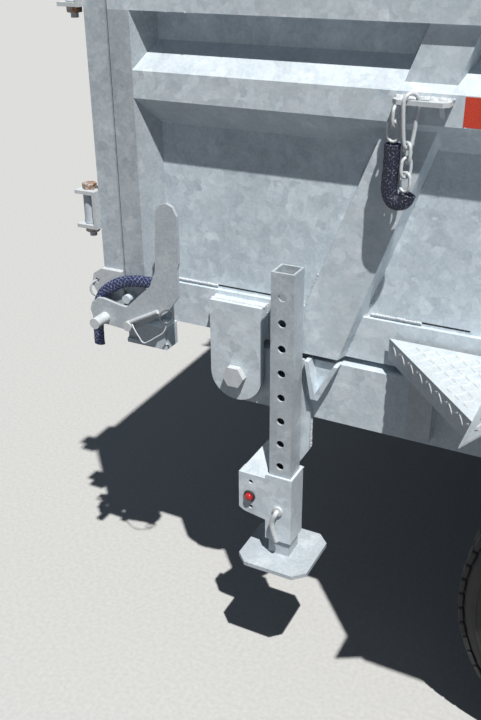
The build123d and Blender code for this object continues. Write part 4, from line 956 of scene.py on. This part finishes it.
def sleeve(name, points, half_y, half_out):
    """A soft tube along a path in an upright plane, with hemmed ends and slight folds."""
    places = path_points(points)
    travelled = [0.0]
    for before, after in zip(places, places[1:]):
        travelled.append(travelled[-1] + (after - before).length)
    length = travelled[-1]

    def spot(distance):
        number = next((i for i, d in enumerate(travelled) if d >= distance), len(travelled) - 1) or 1
        before, after = places[number - 1], places[number]
        share = (distance - travelled[number - 1]) / (travelled[number] - travelled[number - 1])
        return before.lerp(after, share), (after - before).normalized()

    inner = int(length / row_step)
    reach = length - 2 * edge_step
    # each row has its distance along the path and its share of the sleeve's width
    rows = [(hem, 0.02), (hem, 0.70), (0.0, 0.78), (0.0, 0.97)]
    rows += [(edge_step + reach * i / inner, 1.04 if i < 2 or i > inner - 2 else 1.0)
             for i in range(inner + 1)]
    rows += [(length, 0.97), (length, 0.78), (length - hem, 0.70), (length - hem, 0.02)]
    roll = start_piece(name, bpy.ops.mesh.primitive_grid_add, x_subdivisions=around,
                       y_subdivisions=len(rows) - 1, size=2, location=(0, 0, 0))
    uv = roll.data.uv_layers.active.data
    turns = {vertex.index: ((vertex.co.x + 1) / 2, round((vertex.co.y + 1) / 2 * (len(rows) - 1)))
             for vertex in roll.data.vertices}
    for loop in roll.data.loops:
        share, row = turns[loop.vertex_index]
        uv[loop.index].uv = (share * math.pi * (half_y + half_out), rows[row][0])
    for vertex in roll.data.vertices:
        share, row = turns[vertex.index]
        distance, wide = rows[row]
        centre, forward = spot(min(max(distance, 0.0), length))
        outward = forward.cross(Vector((0, 1, 0)))
        angle = 2 * math.pi * share
        fold = 1 + fold_depth * math.sin(3 * angle + distance * 170) * math.sin(distance * 95)
        vertex.co = centre + (Vector((0, 1, 0)) * half_y * math.cos(angle)
                              + outward * half_out * math.sin(angle)) * wide * fold
    bpy.ops.object.mode_set(mode="EDIT")
    bpy.ops.mesh.select_all(action="SELECT")
    bpy.ops.mesh.remove_doubles(threshold=same_place)
    bpy.ops.mesh.normals_make_consistent(inside=False)
    bpy.ops.object.mode_set(mode="OBJECT")
    smooth(roll, 60)
    return roll


hook_route = [(603, 1295), (603, 1252), (603, 1212), (607.5, 1198), (620, 1191.5), (632.5, 1198), (637, 1210)]
lanyard_y = -0.959
lanyard_route = [(-75, 759), (-75, 796), (-72, 832), (-58, 882), (-19, 915), (28, 933), (92, 938)]
for name, route, y, half_y, half_out, body, node in (
        ("chain_sleeve", hook_route, chain_y, 0.0136, 0.0146, "box", "chain_sleeves"),
        ("lanyard_sleeve", lanyard_route, lanyard_y, 0.0078, 0.0134, "gate", "gate_lanyards")):
    right_sleeve = sleeve(f"{name}_right", [(at(x), y, z / 1000) for x, z in route], half_y, half_out)
    for piece in (right_sleeve, mirrored(right_sleeve, f"{name}_left")):
        settle(piece, blue_mesh if body == "gate" else navy_mesh, body)
        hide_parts(node)
print("sleeves done")

# %% [markdown]
# The lock pin carries a wire bail and a pull ring, and the leg pin is a bent bar that a hand can pull.
# These are round bars through a few points, turned from a curve into a mesh.

# %% Bails, rings and bent pins
def ring_points(x, y, z, half_x, half_y, half_z):
    """Twenty points round a ring that hangs upright at an angle to the wall."""
    turns = [2 * math.pi * i / 20 for i in range(20)]
    return [(x + half_x * math.cos(a), y + half_y * math.cos(a), z + half_z * math.sin(a)) for a in turns]


bail_points = [(44, -994, 846), (52, -999, 838), (64, -1001, 823), (76, -1002, 811), (90, -1002, 817),
               (108, -1000, 830), (125, -997, 843), (131, -994, 856), (132, -992, 868)]
shank_points = [(34, -985, 846), (60, -985, 860), (85, -985, 873), (106, -985, 884.5)]
wire_rows = [
    # name, points, radius, closed, finish
    ("lock_pin_bail", bail_points, 1.5, False, zinc_bright),
    ("lock_pin_ring", ring_points(133.5, -994, 881, 9, 12, 16), 1.8, True, spring_steel),
    ("lock_pin_shank", shank_points, 5.2, False, zinc_bright),
    ("ear_ring", ring_points(-73.5, -945, 894, 15, 13, 20), 2.6, True, zinc_bright),
]
for name, points, wire_radius, closed, finish in wire_rows:
    wire = bent_bar(f"{name}_right", [(at(x), y / 1000, z / 1000) for x, y, z in points], wire_radius / 1000,
                    closed=closed, sides=3)
    smooth(wire, 60)
    other = mirrored(wire, f"{name}_left")
    for piece, side in ((wire, "right"), (other, "left")):
        settle(piece, finish, "gate" if name == "ear_ring" else f"lever_{side}")

pin_points = [(403, -988, 458), (403, -1000, 458), (402, -1005.5, 455), (398, -1007, 446),
              (394.5, -1007, 434), (395.5, -1007, 416), (399, -1006, 400), (405, -1005, 381)]
pin_radius = 0.0058
leg_pin = bent_bar("bent_leg_pin_right", [(at(x), y / 1000, z / 1000) for x, y, z in pin_points], pin_radius,
                   sides=4)
collar_profile = [(0.0, pin_radius), (0.0, 0.0118), (0.0042, 0.0124), (0.0055, 0.0112), (0.0060, pin_radius)]
collar = lathe("pin_collar", collar_profile, (at(403), -0.9936, 0.458), (0, -1, 0), steps=24)
leg_pin = joined("bent_leg_pin_right", [leg_pin, collar])
smooth(leg_pin, 50)
for piece in (leg_pin, mirrored(leg_pin, "bent_leg_pin_left")):
    settle(piece, zinc_bright, "chassis")
    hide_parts("leg_pins")
print("wire and pins done")

# %% [markdown]
# The marker lamp is a small bullet lens in a rubber grommet, each turned from a traced section.

# %% Marker lamps
lamp_x, lamp_y, lamp_z = 332, -993.5, 477
lens_profile = [(0.001, 0.0096), (0.0065, 0.0098), (0.0095, 0.0088), (0.0115, 0.0066), (0.0126, 0.0034),
                (0.0129, 0.0)]
grommet_profile = [(0.0, 0.0098), (0.0, 0.0142), (0.0025, 0.0142), (0.0040, 0.0130), (0.0042, 0.0104),
                   (0.0030, 0.0094)]
for name, profile, finish, slot in (("lamp_lens", lens_profile, lamp_red, "red_lens"),
                                    ("lamp_grommet", grommet_profile, rubber, "tyre")):
    lens = lathe(f"{name}_right", profile, (at(lamp_x), lamp_y / 1000, lamp_z / 1000), (0, -1, 0), steps=28)
    for piece in (lens, mirrored(lens, f"{name}_left")):
        settle(piece, finish, "chassis")
        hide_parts("marker_lamps")
print("marker lamps done")

# %% [markdown]
# Behind the lamp, a bent plate rises from the leg's sleeve. Its sloped face catches the sun beside the leg.
# It is a plane whose corners are put in their places. Then it gets its thickness and bevelled edges.

# %% Sloped plates beside the legs
slope_corners = [(306, -992, 535.5), (371, -992, 535.5), (351, -937, 600), (371, -937, 600)]
slope_thick = 0.004
plate = start_piece("leg_slope_right", bpy.ops.mesh.primitive_plane_add, size=1, location=(0, 0, 0))
for vertex, (x, y, z) in zip(plate.data.vertices, slope_corners):
    vertex.co = (at(x), y / 1000, z / 1000)
bpy.ops.object.mode_set(mode="EDIT")
bpy.ops.mesh.select_all(action="SELECT")
bpy.ops.mesh.solidify(thickness=slope_thick)
bpy.ops.mesh.select_all(action="SELECT")
bpy.ops.mesh.normals_make_consistent(inside=False)
bpy.ops.mesh.bevel(offset=0.0006, segments=1)
bpy.ops.object.mode_set(mode="OBJECT")
for piece in (plate, mirrored(plate, "leg_slope_left")):
    settle(piece, zinc_plate, "chassis")
print("sloped plates done")

# %% [markdown]
# Strips of red and white tape lie on the middle rail.
# Short dark strips between the welds above the sill are painted shade in the slit under the wall sheet.

# %% Tape and weld gaps
tape_low, tape_high = 1.3266, 1.3774
tape_out, tape_in = -0.9434, -0.9428
tape_seam = 0.0003
gap_out, gap_in = -0.8925, -0.8915
gap_low, gap_high = 0.9293, 0.9325
tape_rows = [
    # first x, last x, finish
    (714, 993, tape_red), (993, 1171, tape_white), (1171, 1310, tape_red),
    (1900, 2179, tape_red), (2179, 2357, tape_white), (3010, 3289, tape_red), (3289, 3467, tape_white),
]
for number, (first, last, finish) in enumerate(tape_rows):
    strip = bevelled_block(f"tape_right_{number}", (at(first) + tape_seam, tape_out, tape_low),
                           (at(last) - tape_seam, tape_in, tape_high), width=0.0001)
    for piece in (strip, mirrored(strip, f"tape_left_{number}")):
        settle(piece, finish, "box")

# Each dark strip paints the shade in the slit between the wall sheet and the sill.
gap_rows = [(170, 338), (628, 758), (830, 900), (1080, 1190), (1300, 1392), (1620, 1690), (1800, 2060),
            (2300, 2420), (2640, 2790), (2900, 3240), (3400, 3560)]
for number, (first, last) in enumerate(gap_rows):
    slit = bevelled_block(f"gap_right_{number}", (at(first), gap_out, gap_low), (at(last), gap_in, gap_high),
                          width=0.0003)
    for piece in (slit, mirrored(slit, f"gap_left_{number}")):
        settle(piece, painted_gap_shade, "box")
print("tape and gaps done")

# %% [markdown]
# The hinge bolts were cut after the zinc bath, so their heads have begun to rust.

# %% Hinge bolt heads
bolt_x, bolt_y = -83.8, 0.935
head_radius, head_height = 0.0164, 0.0128
head_levels = [level + offset for level in (1080, 1535) for offset in (41.8, -54.2)]
for side in (-1, 1):
    head = hex_nut("hinge_head", head_radius, head_height)
    places = [Matrix.Translation((at(bolt_x), side * bolt_y, level / 1000))
              @ Matrix.Rotation(0.3 * number, 4, "Z") for number, level in enumerate(head_levels)]
    heads = scatter("hinge_heads_right" if side < 0 else "hinge_heads_left", head, places)
    settle(heads, rusty_zinc, "gate")
print("hinge heads done")

# %% [markdown]
# Two U bolts at each spring hold it on its axle, with nuts below a plate.
# A U bolt is a bent bar with its two nuts, and each clamp is mirrored to the trailer's other side.

# %% U bolts
spring_y = -0.707
u_top, u_low, u_half, u_corner = 0.478, 0.318, 0.043, 0.008
u_radius, u_shoulder = 0.0062, 0.02
nut_level, u_nut_height = 0.326, 0.010
plate_low, plate_high = 0.337, 0.347
plate_half_x, plate_half_y = 52, 0.056
for number, x in enumerate(axle_xs.values()):
    parts = []
    outer, inner = spring_y - u_half, spring_y + u_half
    for u_x in (at(x - 30), at(x + 30)):
        points = [(u_x, outer, u_low), (u_x, outer, u_top - u_shoulder), (u_x, outer + u_corner, u_top),
                  (u_x, inner - u_corner, u_top), (u_x, inner, u_top - u_shoulder), (u_x, inner, u_low)]
        parts.append(bent_bar("u_bolt", points, u_radius, handles="VECTOR", sides=3))
        parts.append(scatter("u_bolt_nuts", hex_nut("u_bolt_nut", nut_radius, u_nut_height),
                             [Matrix.Translation((u_x, y, nut_level)) for y in (outer, inner)]))
    parts.append(bevelled_block("spring_plate", (at(x - plate_half_x), spring_y - plate_half_y, plate_low),
                                (at(x + plate_half_x), spring_y + plate_half_y, plate_high), width=0.0015))
    bolts = joined(f"axle_clamp_right_{number}", parts)
    for piece in (bolts, mirrored(bolts, f"axle_clamp_left_{number}")):
        settle(piece, zinc_bright, "chassis")
print("axle clamps done")

# %% [markdown]
# The jack's crank has a rubber grip, and its post carries a flat cap.
# The pump box has a latch on its rear face, which is a small plate with a wire loop.

# %% Jack and pump box details
jack_x, jack_top = 4560, 1.010
crank_y, crank_drop = 0.104, 0.168
grip_profile = [(0.0, 0.0), (0.0, 0.0115), (0.004, 0.0140), (0.012, 0.0145), (0.022, 0.0132), (0.032, 0.0145),
                (0.044, 0.0132), (0.056, 0.0145), (0.068, 0.0140), (0.075, 0.0115), (0.078, 0.0)]
grip = lathe("jack_grip", grip_profile, (at(jack_x), crank_y, jack_top - crank_drop), (0, 1, 0), steps=28)
settle(grip, rubber, "chassis")
cap_half = 35
cap = bevelled_block("jack_cap", (at(jack_x - cap_half), -cap_half / 1000, jack_top + 0.0095),
                     (at(jack_x + cap_half), cap_half / 1000, jack_top + 0.0125), width=0.0014, segments=2)
settle(cap, zinc_bright, "chassis")
loop_points = [(3709, -20, 1060), (3704, -21, 1030), (3704, -12, 1006), (3704, 12, 1006), (3704, 21, 1030),
               (3709, 20, 1060)]
latch_parts = [
    bevelled_block("latch_plate", (at(3712) - 0.0005, -0.035, 0.992), (at(3720), 0.035, 1.072), width=0.0015),
    bent_bar("latch_loop", [(at(x), y / 1000, z / 1000) for x, y, z in loop_points], 0.003, sides=3),
]
latch = joined("pump_box_latch", latch_parts)
settle(latch, zinc_bright, "chassis")
print("jack and pump box details done")

# %% [markdown]
# Drips of zinc froze along the lower edges while the trailer hung over the bath.
# They are stretched balls of uneven size.
# They sit under the sill, the middle and top rails, the chassis's side rails and the gate's lower tube.

# %% Zinc drips
drops_per_metre = 5


def drips(name, edges, body):
    """Small frozen drops along lower edges, each edge given in rear-seam millimetres."""
    drop = start_piece("zinc_drop", bpy.ops.mesh.primitive_ico_sphere_add, subdivisions=2, radius=1,
                       location=(0, 0, 0))
    places = []
    for first, last in edges:
        a = Vector((at(first[0]), first[1] / 1000, first[2] / 1000))
        b = Vector((at(last[0]), last[1] / 1000, last[2] / 1000))
        for _ in range(max(1, int((b - a).length * drops_per_metre))):
            place = a.lerp(b, random.uniform(0.02, 0.98))
            wide, tall = random.uniform(0.0015, 0.0032), random.uniform(0.0018, 0.0045)
            places.append(Matrix.Translation(place) @ Matrix.Diagonal((wide * 1.4, wide, tall, 1)))
    piece = scatter(name, drop, places)
    for polygon in piece.data.polygons:
        polygon.use_smooth = True
    settle(piece, zinc_bright, body)
    settle(mirrored(piece, f"{name}_left"), zinc_bright, body)


box_edges = [
    # the sill, the middle rail and the top rail
    ((110, -900, 829), (3650, -900, 829)), ((60, -941, 1325.5), (3640, -941, 1325.5)),
    ((60, -941, 1490), (3640, -941, 1490)),
]
chassis_edges = [((345, -916, 675), (890, -916, 675)), ((2395, -916, 675), (3650, -916, 675))]
gate_edges = [((-50, -930, 860), (-8, -700, 860)), ((-50, -700, 860), (-50, 0, 860))]
for name, edges, body in (("box_drips", box_edges, "box"), ("chassis_drips", chassis_edges, "chassis"),
                          ("gate_drips", gate_edges, "gate")):
    drips(name, edges, body)
print("drips done")

# %% [markdown]
# The rail hooks were welded by hand, and the zinc gathered on the weld in thick, bright lumps.

# %% Lumps on the rail hooks
lump = start_piece("hook_lump", bpy.ops.mesh.primitive_ico_sphere_add, subdivisions=3, radius=1,
                   location=(0, 0, 0))
lump_rows = [
    # x, y, z, half length, half width, half height
    (604, -950, 1369, 10, 7, 4.0), (616, -949, 1370, 9, 6, 4.5), (628, -951, 1369, 10, 7, 3.5),
    (652, -950, 1369, 9, 5, 3.0), (664, -951, 1369.5, 10, 7, 4.5), (677, -950, 1370, 11, 7, 5.0),
    (687, -952, 1369, 8, 6, 4.0), (668, -962, 1369, 12, 5, 2.5),
]
lump_places = [Matrix.Translation((at(x), y / 1000, z / 1000))
               @ Matrix.Diagonal((half_length / 1000, half_width / 1000, half_height / 1000, 1))
               for x, y, z, half_length, half_width, half_height in lump_rows]
lumps = scatter("hook_lumps_right", lump, lump_places)
for polygon in lumps.data.polygons:
    polygon.use_smooth = True
for piece in (lumps, mirrored(lumps, "hook_lumps_left")):
    settle(piece, zinc_bright, "box")
print("hook lumps done")
